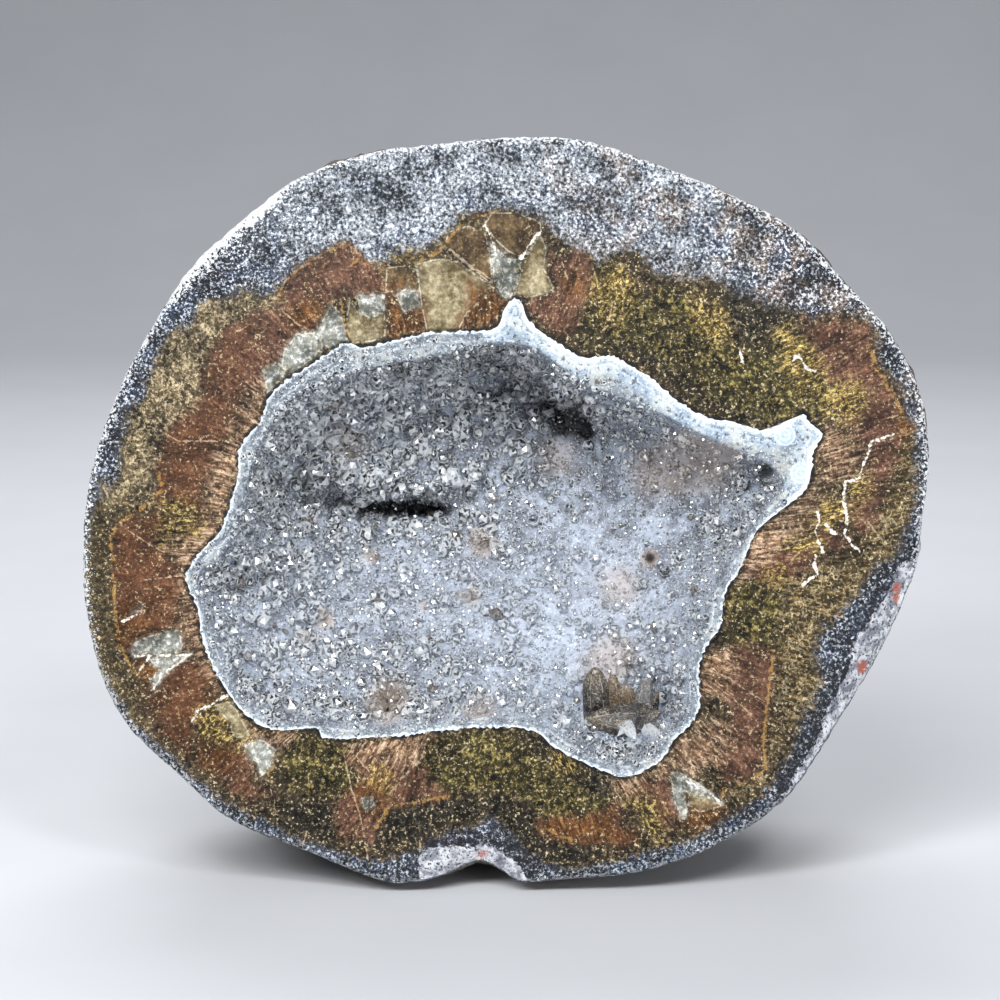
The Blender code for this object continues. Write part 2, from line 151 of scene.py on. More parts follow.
def alongRays(curve, centre, angles):  # where rays from the centre meet the curve
    arms = curve - centre
    bearing = np.unwrap(np.arctan2(arms[:, 1], arms[:, 0]))
    if bearing[-1] < bearing[0]:
        bearing, arms = bearing[::-1], arms[::-1]
    turns = np.concatenate([bearing - 2 * math.pi, bearing, bearing + 2 * math.pi])
    reach = np.tile(np.hypot(arms[:, 0], arms[:, 1]), 3)
    r = np.interp(angles, turns, reach)
    return centre + r[:, None] * np.column_stack([np.cos(angles), np.sin(angles)])


def sectorAngles(curves, centre, count):  # bearings that cut the curves into equal lengths
    fine = np.linspace(-math.pi, math.pi, 5761)
    travelled = np.zeros(len(fine))
    for curve in curves:
        steps = np.diff(alongRays(curve, centre, fine), axis=0)
        travelled[1:] += np.cumsum(np.hypot(steps[:, 0], steps[:, 1]))
    return np.interp(np.arange(count) / count * travelled[-1], travelled, fine)


def vertexArray(mesh):
    flat = np.empty(len(mesh.vertices) * 3, np.float32)
    mesh.vertices.foreach_get("co", flat)
    return flat.reshape(-1, 3).astype(float)


def frameShift():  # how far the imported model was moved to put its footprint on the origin
    points = vertexArray(frame["nodes"]["crystal_crust"].data)
    s, c = math.sin(cut["lean"]), math.cos(cut["lean"])
    plane = (points[:, 1] * c - points[:, 2] * s).min()
    low = onFace([(0, cut["low"])])[0][1]
    backward = (low * c * s - cut["lift"] * s - plane) / c
    sideways = onFace([((cut["left"] + cut["right"]) / 2, 0)])[0][0]
    return sideways, backward


shift = frameShift()


def stoodUp(points, floor=None):  # face coordinates as world ones
    u, v, w = np.asarray(points, float).T
    s, c = math.sin(cut["lean"]), math.cos(cut["lean"])
    low = onFace([(0, cut["low"])])[0][1]
    z = (v - low) * c - w * s + cut["lift"]
    if floor is not None:
        z = np.maximum(z, floor)
    return np.column_stack([u - shift[0], v * s + w * c - shift[1], z])


def withDepth(points, depth):
    return np.column_stack([points, np.broadcast_to(depth, len(points))])


centre = onFace([cut["rays"]])[0]
outlineCurve = onFace(smoothLoop(outline))
rimCurve = onFace(smoothLoop(rim))
lipCurve = onFace(smoothLoop(lip))
angles = sectorAngles((rimCurve, outlineCurve), centre, cut["sectors"])
rimRing, lipRing, outlineRing = (
    alongRays(curve, centre, angles) for curve in (rimCurve, lipCurve, outlineCurve)
)
# small round bumps with notches between them
scallop = {"height": 0.75 * mm, "size": 0.85 * mm, "notch": 0.18}
for spot, seat in enumerate(rimRing):
    arm = (seat - centre) / np.linalg.norm(seat - centre)
    bump = abs(noise.noise(Vector((*seat, 0)) / scallop["size"])) - scallop["notch"]
    rimRing[spot] = seat + arm * scallop["height"] * bump
print("outlines drawn")


# The hollow's depth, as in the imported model: soundings in pixels and millimetres, and two folds.
hollow = {
    "soundings": [
        (300, 400, 13), (360, 390, 15), (440, 385, 18), (500, 380, 23), (550, 400, 25),
        (290, 450, 15), (350, 450, 18), (430, 450, 20), (500, 440, 23), (590, 430, 26),
        (280, 495, 18), (340, 500, 23), (400, 510, 27), (450, 505, 26), (520, 480, 24),
        (600, 385, 8), (650, 420, 11), (700, 450, 11), (740, 475, 10), (640, 460, 20),
        (600, 500, 22), (680, 510, 18), (730, 520, 11), (230, 580, 7), (270, 560, 13),
        (330, 560, 21), (420, 560, 22), (520, 550, 21), (620, 560, 18), (690, 570, 12),
        (250, 640, 9), (320, 630, 15), (420, 640, 16), (520, 640, 15), (620, 640, 14),
        (680, 640, 9), (280, 690, 7), (350, 690, 8), (440, 690, 7), (520, 690, 8),
        (600, 700, 11), (650, 700, 10), (620, 740, 8),
    ],
    "spread": 26 * pixel,
    "slot": [(300, 494), (370, 506), (440, 510)],
    "crevice": [(470, 352), (540, 388), (600, 425)],
    "foldDepth": 4.5 * mm,
    "foldWidth": 11 * pixel,
    "swellShift": (4, -24),
    "swellHeight": 2.5 * mm,
    "swellWidth": 20 * pixel,
    "wallRun": 7 * mm,
    "wallPower": 2.2,
    "seat": (622, 724),
    "seatRadius": 6.4 * mm,
    "seatDepth": 8.4 * mm,
    "seatSlope": 0.6,
    "seatMargin": 2.0 * mm,
    "seatBlend": 1.35,        # how far out its slope fades, in radii, and below the crust
    "seatBlendBelow": 1.6,
    "crustThickness": 2.6 * mm,
    "undersideWiden": 2.4,
    "undersideRings": (0.965, 0.90, 0.78, 0.58, 0.32),
    "undersideRoundBy": 0.22,
    "cavityGap": 0.6 * mm,    # between the crust's back and the rock
    "leastThickness": 0.9 * mm,
}


def soundedDepth(points, widen=1):
    table = np.array(hollow["soundings"], float)
    spots = onFace(table[:, :2])
    total, weights = np.zeros(len(points)), np.full(len(points), 1e-30)
    for spot, depth in zip(spots, table[:, 2] * mm):
        squared = ((points - spot) ** 2).sum(1)
        weight = np.exp(-squared / (2 * hollow["spread"] ** 2)) + 1e-9
        total += weight * depth
        weights += weight
    depth = total / weights
    for name in ("slot", "crevice"):
        path = onFace(hollow[name])
        swell = onFace(np.array(hollow[name]) + hollow["swellShift"])
        fromFold = distanceTo(path, points, False) / (hollow["foldWidth"] * widen)
        fromSwell = distanceTo(swell, points, False) / hollow["swellWidth"]
        depth += hollow["foldDepth"] * np.exp(-(fromFold**2))
        depth -= hollow["swellHeight"] / widen * np.exp(-(fromSwell**2))
    return depth


def wall(distance):
    return 1 - (1 - np.clip(distance / hollow["wallRun"], 0, 1)) ** hollow["wallPower"]


def seatShare(points, edge, blend):
    away = points - onFace([hollow["seat"]])[0]
    away = np.hypot(away[:, 0], away[:, 1]) / hollow["seatRadius"]
    fade = np.clip(edge / hollow["seatMargin"], 0, 1)
    return np.clip((blend - away) / (blend - 1), 0, 1) * fade


def seatPlane(points):
    return hollow["seatDepth"] + hollow["seatSlope"] * (points[:, 1] - onFace([hollow["seat"]])[0][1])


def floorDepth(points, edge):
    share = seatShare(points, edge, hollow["seatBlend"])
    return soundedDepth(points) * wall(edge) * (1 - share) + seatPlane(points) * share


def undersideDepth(points):
    edge = distanceTo(rimCurve, points)
    thick = hollow["crustThickness"]
    share = seatShare(points, edge, hollow["seatBlendBelow"])
    depth = soundedDepth(points, hollow["undersideWiden"]) * wall(edge)
    return depth * (1 - share) + seatPlane(points) * share + thick * np.clip(edge / thick, 0, 1)


# Mesh making
def ringFaces(first, second, count):
    i = np.arange(count)
    j = (i + 1) % count
    one = np.column_stack([first + i, second + i, second + j])
    two = np.column_stack([first + i, second + j, first + j])
    return np.concatenate([one, two])


def fanFaces(ring, tip, count):
    i = np.arange(count)
    return np.column_stack([ring + i, np.full(count, tip), ring + (i + 1) % count])


def closedOff(points, faces, last, rings, tip, inward=False):
    count = cut["sectors"]  # rings go on from the one that starts at last, and end in the tip
    for ring in rings:
        total = sum(map(len, points))
        points.append(ring)
        faces.append(ringFaces(total, last, count) if inward else ringFaces(last, total, count))
        last = total
    fan = fanFaces(last, sum(map(len, points)), count)
    points.append(tip)
    faces.append(fan[:, ::-1] if inward else fan)


def undersideRings(rim, depth):  # the hollow's hidden side needs few rings
    rings = []
    for share in hollow["undersideRings"]:
        soft = rounded(rim, (1 - share) / hollow["undersideRoundBy"], nodule["cornerSpan"])
        ring = centre + (soft - centre) * share
        rings.append(withDepth(ring, depth(ring)))
    return rings


def filled(loops, inner):  # triangles over flat points with the loops as edges, all facing one way
    flat = np.concatenate([*loops, inner])
    edges, first = [], 0
    for loop in loops:
        count = len(loop)
        edges += [(first + i, first + (i + 1) % count) for i in range(count)]
        first += count
    _, _, triangles, original, _, _ = delaunay_2d_cdt([Vector(p) for p in flat], edges, [], 1, 1e-9)
    index = np.array([group[0] for group in original])
    faces = index[np.array(triangles)]
    a, b, c = flat[faces[:, 0]], flat[faces[:, 1]], flat[faces[:, 2]]
    turn = (b[:, 0] - a[:, 0]) * (c[:, 1] - a[:, 1]) - (b[:, 1] - a[:, 1]) * (c[:, 0] - a[:, 0])
    faces[turn < 0] = faces[turn < 0][:, ::-1]
    return flat, faces


def scattered(curve, pitch, seed):  # an uneven triangular lattice over a curve's box
    low, high = curve.min(0), curve.max(0)
    row = pitch * math.sqrt(3) / 2
    columns = np.arange(int((high[0] - low[0]) / pitch) + 1)
    rows = np.arange(int((high[1] - low[1]) / row) + 1)
    x, y = np.meshgrid(columns, rows)
    x = x + 0.5 * (y % 2)
    jitter = np.random.default_rng(seed).uniform(-0.2, 0.2, (2, *x.shape))
    return np.column_stack([
        (low[0] + (x + jitter[0]) * pitch).ravel(),
        (low[1] + y * row + jitter[1] * pitch).ravel(),
    ])


def makePiece(name, points, faces, smoothAngle=None):
    faces = np.asarray(faces)
    a, b, c = points[faces[:, 0]], points[faces[:, 1]], points[faces[:, 2]]
    if np.einsum("ij,ij->i", a, np.cross(b, c)).sum() < 0:
        faces = faces[:, ::-1]
    mesh = bpy.data.meshes.new(name)
    mesh.vertices.add(len(points))
    mesh.vertices.foreach_set("co", points.astype(np.float32).ravel())
    mesh.loops.add(len(faces) * 3)
    mesh.loops.foreach_set("vertex_index", faces.astype(np.int32).ravel())
    mesh.polygons.add(len(faces))
    mesh.polygons.foreach_set("loop_start", np.arange(len(faces), dtype=np.int32) * 3)
    mesh.update(calc_edges=True)
    mesh.validate()
    if smoothAngle is not None:
        mesh.polygons.foreach_set("use_smooth", np.ones(len(mesh.polygons), bool))
        mesh.set_sharp_from_angle(angle=smoothAngle)
    made = bpy.data.objects.new(name, mesh)
    bpy.context.scene.collection.objects.link(made)
    return made


def store(piece, name, values, domain="POINT"):
    kind = "FLOAT" if np.ndim(values) == 1 else "FLOAT_VECTOR"
    attribute = piece.data.attributes.new(name, kind, domain)
    key = "value" if kind == "FLOAT" else "vector"
    attribute.data.foreach_set(key, np.asarray(values, np.float32).ravel())


def roughness(points, size, octaves, seed):  # natural noise, about -1 to 1
    offset = Vector((seed, seed * 1.7, seed * 2.3))
    return np.array([noise.fractal(Vector(p) / size + offset, 0.9, 2.1, octaves) for p in points])


# What is drawn on the cut face, as pixels. Each kind of stone is a list of closed outlines.
stones = {
    "band": [
        [(92, 640), (90, 600), (88, 560), (92, 530), (97, 505), (108, 490), (118, 478), (122, 462),
         (120, 445), (126, 428), (130, 408), (146, 395), (150, 378), (158, 352), (172, 332), (190, 326),
         (204, 308), (224, 300), (246, 290), (268, 296), (280, 283), (300, 268), (322, 252), (348, 242),
         (358, 252), (372, 263), (388, 262), (400, 252), (415, 250), (440, 240), (462, 215), (490, 208),
         (515, 208), (540, 215), (556, 232), (575, 246), (590, 256), (604, 262), (612, 252), (636, 250),
         (648, 264), (668, 278), (698, 276), (722, 284), (738, 300), (765, 305), (790, 310), (812, 316),
         (845, 312), (868, 322), (878, 340), (880, 360), (892, 375), (902, 395), (910, 420), (915, 450),
         (915, 480), (912, 510), (905, 535), (896, 553), (880, 562), (870, 575), (862, 585), (850, 600),
         (836, 615), (825, 625), (815, 640), (812, 655), (818, 672), (814, 690), (808, 705), (800, 720),
         (800, 735), (795, 750), (780, 770), (765, 790), (755, 800), (740, 812), (720, 825), (690, 838),
         (660, 850), (625, 860), (590, 866), (560, 868), (530, 855), (512, 835), (490, 818), (470, 828),
         (440, 835), (420, 848), (395, 855), (370, 862), (345, 852), (322, 845), (300, 838), (270, 825),
         (255, 818), (232, 806), (205, 785), (170, 755), (140, 725), (115, 690), (98, 665)],
    ],
    "tan": [
        [(100, 480), (112, 488), (126, 470), (128, 440), (130, 412), (150, 396), (154, 372), (162, 350),
         (178, 332), (200, 326), (206, 308), (228, 302), (246, 292), (268, 298), (280, 302), (270, 307),
         (252, 314), (234, 323), (222, 332), (216, 345), (208, 358), (203, 378), (200, 400), (190, 412),
         (172, 420), (160, 432), (155, 450), (150, 470), (155, 490), (150, 500), (130, 498), (110, 510),
         (98, 512)],
    ],
    "olive": [
        [(580, 290), (592, 268), (606, 262), (622, 275), (632, 290), (650, 295), (660, 282), (680, 288),
         (700, 300), (718, 310), (730, 328), (742, 345), (760, 345), (775, 330), (792, 328), (808, 342),
         (820, 365), (828, 385), (822, 400), (830, 415), (820, 425), (800, 412), (785, 420), (770, 428),
         (740, 425), (710, 412), (690, 398), (670, 380), (650, 368), (632, 358), (600, 350), (582, 340),
         (575, 325)],
        [(425, 745), (440, 735), (470, 732), (500, 731), (530, 738), (552, 755), (575, 768), (600, 780),
         (618, 790), (615, 802), (600, 812), (575, 820), (550, 820), (535, 812), (520, 800), (500, 795),
         (470, 793), (445, 795), (432, 780), (422, 762)],
        [(285, 745), (300, 735), (330, 740), (350, 750), (352, 765), (350, 790), (335, 798), (315, 798),
         (295, 790), (283, 775)],
        [(735, 590), (750, 580), (775, 590), (785, 600), (785, 625), (782, 645), (755, 645), (735, 648),
         (728, 640), (726, 620)],
    ],
    "smoke": [
        [(400, 806), (450, 798), (500, 796), (520, 802), (535, 815), (542, 835), (560, 842), (600, 846),
         (580, 865), (545, 862), (520, 845), (505, 828), (488, 815), (465, 822), (440, 828), (415, 840),
         (380, 850), (372, 840), (380, 825)],
        [(520, 735), (555, 745), (585, 768), (615, 778), (618, 795), (590, 790), (560, 772), (535, 755)],
        [(575, 330), (600, 345), (632, 356), (655, 368), (675, 385), (700, 405), (735, 422), (770, 428),
         (760, 418), (720, 400), (690, 380), (660, 360), (630, 345), (600, 335)],
        [(285, 800), (330, 800), (338, 815), (335, 840), (310, 840), (280, 825), (278, 810)],
        [(725, 284), (760, 300), (800, 312), (800, 330), (775, 332), (755, 345), (738, 335), (722, 310)],
    ],
    "khaki": [
        [(95, 510), (125, 505), (112, 528), (110, 560), (113, 600), (118, 645), (135, 675), (150, 700),
         (165, 725), (140, 715), (112, 680), (95, 645), (88, 590), (88, 540)],
        [(905, 430), (912, 460), (912, 500), (905, 530), (893, 550), (872, 562), (860, 575), (850, 595),
         (835, 608), (822, 622), (815, 640), (815, 660), (817, 675), (812, 695), (808, 710), (795, 720),
         (780, 735), (770, 760), (760, 790), (735, 790), (755, 775), (762, 750), (768, 720), (772, 690),
         (776, 660), (782, 640), (786, 610), (785, 590), (800, 585), (812, 570), (830, 562), (850, 552),
         (862, 540), (875, 525), (885, 500), (895, 475)],
    ],
    "mahogany": [
        [(222, 332), (236, 322), (256, 312), (274, 308), (286, 312), (302, 328), (297, 342), (282, 350),
         (276, 362), (262, 370), (260, 382), (255, 390), (245, 400), (240, 415), (232, 430), (228, 445),
         (215, 452), (210, 470), (206, 490), (204, 510), (200, 520), (190, 505), (178, 500), (165, 500),
         (158, 492), (160, 470), (162, 450), (168, 430), (190, 415), (200, 402), (203, 380), (208, 358),
         (215, 345)],
        [(280, 302), (284, 285), (292, 273), (308, 260), (328, 250), (350, 245), (358, 254), (368, 264),
         (382, 276), (380, 290), (365, 295), (345, 296), (335, 298), (325, 308), (315, 322), (302, 326),
         (290, 316)],
        [(550, 255), (562, 258), (576, 250), (586, 256), (593, 270), (596, 285), (590, 296), (582, 305),
         (578, 322), (570, 338), (556, 334), (540, 320), (528, 308), (527, 300), (545, 297), (556, 289),
         (548, 272)],
        [(806, 320), (835, 320), (862, 324), (872, 338), (874, 360), (884, 382), (895, 400), (904, 425),
         (898, 455), (892, 478), (882, 500), (874, 525), (862, 535), (852, 525), (855, 505), (866, 490),
         (868, 470), (862, 450), (850, 432), (845, 422), (862, 408), (864, 395), (850, 385), (835, 382),
         (824, 372), (815, 350), (804, 335)],
        [(822, 532), (845, 530), (852, 545), (840, 552), (820, 548)],
        [(748, 562), (770, 553), (800, 548), (815, 552), (812, 565), (795, 575), (770, 578), (752, 575)],
        [(113, 535), (125, 520), (150, 515), (165, 520), (160, 535), (155, 545), (165, 555), (178, 568),
         (178, 590), (180, 610), (178, 625), (165, 628), (160, 632), (145, 630), (128, 650), (120, 640),
         (117, 610), (114, 580)],
        [(135, 690), (150, 695), (165, 680), (185, 660), (200, 665), (215, 685), (222, 698), (208, 705),
         (195, 712), (190, 735), (195, 755), (180, 750), (165, 735), (150, 715), (140, 700)],
        [(200, 740), (222, 745), (240, 750), (250, 760), (245, 775), (258, 790), (270, 795), (255, 798),
         (235, 790), (220, 778), (205, 765), (198, 752)],
        [(345, 757), (360, 753), (388, 756), (412, 757), (420, 765), (430, 785), (445, 795), (425, 800),
         (405, 803), (388, 808), (378, 822), (370, 840), (345, 838), (335, 820), (338, 800), (355, 790),
         (368, 785), (360, 770)],
        [(540, 822), (565, 820), (590, 818), (605, 810), (615, 805), (622, 810), (628, 830), (640, 838),
         (610, 842), (580, 840), (560, 838), (545, 835)],
        [(733, 650), (755, 645), (772, 650), (775, 680), (770, 710), (765, 735), (762, 760), (755, 775),
         (730, 785), (722, 775), (715, 758), (722, 740), (728, 725), (730, 705), (722, 695), (730, 680),
         (735, 668)],
        [(618, 790), (640, 780), (665, 775), (672, 790), (678, 810), (680, 822), (665, 825), (655, 815),
         (650, 800), (635, 795)],
    ],
    "fringe": [
        [(262, 382), (265, 400), (262, 420), (250, 435), (240, 447), (237, 470), (236, 490), (225, 505),
         (222, 530), (215, 540), (200, 548), (190, 560), (186, 575), (195, 600), (197, 625), (205, 650),
         (215, 670), (222, 690), (228, 700), (215, 695), (200, 672), (195, 655), (182, 640), (178, 622),
         (177, 600), (175, 575), (172, 560), (160, 548), (170, 538), (188, 533), (203, 525), (205, 505),
         (207, 480), (212, 460), (225, 445), (235, 425), (242, 405), (252, 390)],
        [(350, 750), (385, 742), (395, 738), (415, 735), (432, 733), (425, 748), (418, 757), (405, 765),
         (390, 757), (360, 753)],
        [(830, 425), (850, 432), (860, 450), (866, 470), (850, 475), (830, 480), (815, 485), (822, 505),
         (812, 520), (800, 535), (785, 545), (765, 555), (748, 565), (742, 575), (745, 555), (757, 535),
         (775, 522), (798, 505), (812, 480), (820, 450)],
        [(706, 655), (725, 655), (733, 665), (728, 680), (722, 695), (708, 690), (704, 670)],
        [(640, 775), (658, 768), (675, 745), (690, 728), (712, 720), (730, 728), (722, 745), (712, 755),
         (700, 768), (690, 775), (672, 775), (650, 780), (625, 790), (618, 785), (625, 778)],
        [(240, 715), (255, 725), (270, 735), (290, 735), (280, 745), (262, 745), (248, 735)],
    ],
    "gold": [
        [(165, 500), (182, 497), (196, 505), (203, 520), (200, 530), (185, 535), (170, 545), (155, 540),
         (150, 525), (160, 512)],
        [(203, 712), (225, 700), (240, 720), (250, 735), (240, 745), (220, 745), (205, 740), (198, 728)],
        [(388, 258), (400, 254), (413, 252), (415, 262), (405, 268), (392, 266)],
        [(828, 395), (840, 385), (856, 388), (863, 400), (860, 413), (845, 422), (832, 415), (825, 405)],
        [(785, 330), (800, 340), (815, 355), (820, 380), (810, 395), (798, 390), (790, 370), (782, 350)],
        [(815, 505), (835, 500), (848, 510), (845, 525), (828, 525), (815, 518)],
        [(790, 542), (812, 535), (820, 545), (800, 552)],
        [(768, 572), (788, 573), (780, 586)],
        [(630, 800), (645, 798), (655, 805), (662, 825), (655, 838), (645, 825), (635, 810)],
        [(375, 770), (388, 778), (385, 792), (372, 790)],
        [(555, 755), (570, 758), (575, 768), (562, 768)],
        [(598, 275), (625, 278), (632, 300), (625, 318), (608, 325), (595, 310)],
        [(690, 300), (715, 305), (728, 330), (715, 340), (698, 330)],
        [(855, 485), (868, 483), (868, 495), (855, 500)],
    ],
    "amber": [
        [(466, 280), (482, 286), (498, 294), (506, 302), (500, 318), (486, 326), (462, 331), (456, 322),
         (466, 302)],
        [(385, 292), (398, 285), (412, 290), (424, 300), (426, 330), (400, 338), (388, 332)],
        [(285, 320), (300, 328), (322, 318), (326, 305), (312, 300), (295, 305)],
        [(122, 600), (140, 598), (142, 615), (150, 628), (135, 640), (122, 645), (118, 625)],
        [(139, 660), (160, 659), (168, 664), (160, 676), (150, 688), (140, 682), (136, 672)],
        [(200, 745), (235, 750), (225, 770), (205, 765)],
        [(540, 822), (600, 815), (612, 806), (618, 830), (640, 838), (600, 842), (560, 838)],
        [(355, 790), (375, 785), (385, 800), (375, 815), (358, 808)],
        [(563, 278), (578, 275), (582, 290), (568, 295)],
        [(900, 415), (912, 425), (905, 435), (898, 425)],
        [(682, 808), (705, 805), (722, 808), (715, 822), (695, 828), (680, 822)],
    ],
    "cream": [
        [(358, 313), (384, 313), (385, 336), (372, 341), (352, 343), (346, 326), (350, 300)],
        [(417, 264), (440, 259), (458, 262), (477, 276), (494, 288), (466, 314), (458, 330), (428, 334),
         (422, 306)],
        [(527, 257), (540, 234), (546, 249), (543, 268), (554, 289), (532, 297), (514, 296), (520, 276)],
        [(215, 705), (232, 702), (240, 718), (250, 735), (235, 738), (228, 720)],
        [(690, 790), (712, 798), (722, 806), (700, 812), (688, 805)],
    ],
    "umber": [
        [(449, 232), (468, 226), (485, 234), (491, 262), (492, 284), (474, 270), (455, 255), (445, 246)],
        [(485, 224), (492, 213), (515, 213), (540, 222), (541, 232), (524, 258), (508, 251), (494, 238)],
        [(387, 268), (404, 266), (417, 270), (420, 292), (404, 290), (386, 292)],
    ],
    "quartz": [
        [(317, 332), (331, 306), (340, 313), (345, 331), (348, 343), (332, 348), (322, 344)],
        [(284, 352), (297, 334), (318, 333), (323, 346), (314, 357), (296, 370), (282, 368)],
        [(264, 374), (277, 362), (286, 372), (276, 384), (268, 393)],
        [(132, 645), (145, 638), (165, 632), (178, 630), (182, 645), (178, 652), (155, 655), (148, 652),
         (135, 657), (131, 650)],
        [(148, 657), (185, 655), (192, 653), (175, 665), (165, 675), (155, 690), (152, 680), (160, 668),
         (152, 662)],
        [(358, 295), (384, 295), (384, 313), (370, 318), (360, 312)],
        [(396, 294), (408, 288), (417, 294), (420, 306), (404, 312)],
        [(491, 244), (508, 259), (521, 260), (518, 278), (511, 297), (504, 298), (494, 280)],
        [(671, 773), (678, 772), (700, 785), (722, 802), (700, 795), (682, 790), (687, 810), (684, 822),
         (674, 800)],
        [(245, 745), (262, 740), (275, 750), (270, 765), (262, 775), (258, 762), (250, 758)],
        [(362, 798), (373, 797), (374, 806), (364, 809)],
        [(142, 600), (144, 606), (139, 612), (137, 616), (131, 614), (133, 609), (138, 605)],
    ],
    "shell": [  # the white rind on the broken edge and in the bottom dimple
        [(920, 562), (905, 562), (896, 575), (890, 590), (880, 605), (868, 625), (855, 640), (850, 660),
         (845, 680), (832, 700), (822, 725), (815, 745), (800, 765), (785, 800), (840, 735), (892, 652),
         (925, 572)],
        [(418, 862), (430, 848), (455, 846), (480, 845), (500, 850), (515, 862), (528, 878), (518, 888),
         (500, 876), (478, 867), (452, 877), (425, 886)],
    ],
    "rust": [
        [(894, 582), (902, 584), (902, 600), (897, 606), (893, 595)],
        [(857, 664), (866, 660), (871, 668), (862, 676)],
        [(477, 851), (488, 849), (486, 857), (478, 858)],
    ],
}
windows = ("cream", "umber", "quartz")  # clear stone with straight outlines
# White veins, faint hairs and golden borders, each with its half width in pixels
veins = [
    (0.9, [(893, 434), (880, 440), (872, 441), (869, 452), (862, 468), (860, 478), (846, 482),
           (843, 500), (847, 515), (845, 535), (852, 545), (860, 552)]),
    (0.6, [(817, 510), (820, 522), (815, 530), (820, 545), (823, 552)]),
    (0.9, [(826, 524), (833, 533), (838, 534)]),
    (1.0, [(816, 556), (814, 566), (818, 574), (808, 580), (802, 586)]),
    (0.4, [(134, 656), (190, 655)]),
    (0.4, [(152, 690), (165, 672), (192, 654)]),
    (0.4, [(148, 658), (142, 667), (137, 675)]),
    (0.5, [(227, 695), (214, 703), (196, 712), (191, 723)]),
    (0.4, [(121, 622), (134, 616), (138, 612)]),
    (0.9, [(740, 350), (742, 362)]),
    (0.7, [(792, 362), (799, 355), (805, 367), (816, 372)]),
    (0.5, [(686, 782), (700, 787), (723, 803)]),
    (0.7, [(485, 225), (492, 240), (496, 255)]),
    (0.7, [(541, 231), (530, 245), (521, 258)]),
]
hairs = [
    (0.5, [(160, 430), (178, 441), (218, 441)]),
    (0.5, [(120, 525), (150, 545), (165, 553)]),
    (0.5, [(143, 580), (180, 576), (190, 573)]),
    (0.5, [(128, 672), (140, 655)]),
    (0.5, [(344, 755), (352, 790), (360, 815), (368, 860)]),
    (0.5, [(355, 755), (372, 775)]),
    (0.5, [(400, 780), (425, 755)]),
    (0.5, [(388, 795), (400, 782)]),
    (0.6, [(420, 840), (421, 860)]),
    (0.5, [(450, 760), (468, 745)]),
    (0.6, [(437, 752), (440, 762)]),
    (0.6, [(303, 845), (307, 830)]),
    (0.6, [(601, 332), (608, 325), (612, 305)]),
    (0.7, [(238, 331), (250, 325)]),
    (0.7, [(283, 312), (300, 326), (322, 352)]),
    (0.5, [(730, 680), (765, 702)]),
    (0.6, [(735, 700), (752, 715)]),
    (0.6, [(820, 612), (845, 618)]),
    (0.5, [(752, 568), (765, 555), (790, 548)]),
    (0.6, [(788, 565), (800, 552)]),
    (0.6, [(867, 520), (885, 545)]),
    (0.5, [(450, 249), (470, 265), (492, 280)]),
    (0.6, [(526, 229), (530, 226)]),
    (0.6, [(888, 418), (898, 415)]),
    (0.6, [(148, 502), (152, 508)]),
    (0.7, [(450, 280), (456, 276)]),
    (0.5, [(562, 262), (568, 280)]),
    (0.5, [(102, 486), (108, 496)]),
]
goldBorders = [
    (0.9, [(113, 560), (110, 537), (118, 523), (135, 513)]),
    (1.1, [(119, 640), (115, 610), (113, 575)]),
    (1.1, [(120, 645), (128, 662), (138, 675)]),
    (0.8, [(278, 300), (284, 282), (300, 268), (325, 252), (348, 243), (361, 256), (352, 266)]),
    (1.0, [(341, 300), (345, 325), (352, 342)]),
    (0.9, [(362, 264), (388, 262)]),
    (0.8, [(418, 260), (440, 252), (448, 240), (458, 228), (478, 216), (500, 210)]),
    (1.0, [(388, 807), (420, 801), (450, 796)]),
    (1.2, [(376, 828), (388, 808)]),
    (0.7, [(722, 805), (723, 790), (745, 781), (762, 773)]),
    (1.4, [(868, 345), (878, 370), (890, 390), (903, 412)]),
    (1.4, [(773, 650), (769, 690), (763, 740), (766, 772)]),
    (1.2, [(545, 828), (560, 836), (572, 840)]),
    (0.9, [(195, 712), (200, 706), (210, 703)]),
    (0.8, [(268, 775), (275, 765), (272, 752)]),
    (1.2, [(158, 470), (162, 490), (152, 500), (140, 510)]),
]
fieldReach = 26  # pixels beyond which a zone's distance isn't measured
zoneSteps = 3    # pieces that each stretch between a zone's points is cut into


def zoneField(outlines, points, straight=False):  # millimetres inside an outline, negative outside
    result = np.full(len(points), -float(fieldReach))
    for drawn in outlines:
        curve = np.array(drawn, float) if straight else smoothLoop(drawn, zoneSteps)
        near = ((points > curve.min(0) - fieldReach) & (points < curve.max(0) + fieldReach)).all(1)
        chosen = points[near]
        away = distanceTo(curve, chosen)
        signed = np.where(inside(curve, chosen), away, -away)
        result[near] = np.maximum(result[near], signed)
    return result * pixel / mm


def lineField(lines, points):  # millimetres outside the nearest line's edge, negative on it
    result = np.full(len(points), float(fieldReach))
    for halfWidth, drawn in lines:
        curve = np.array(drawn, float)
        near = ((points > curve.min(0) - fieldReach) & (points < curve.max(0) + fieldReach)).all(1)
        away = distanceTo(curve, points[near], False) - halfWidth
        result[near] = np.minimum(result[near], away)
    return result * pixel / mm


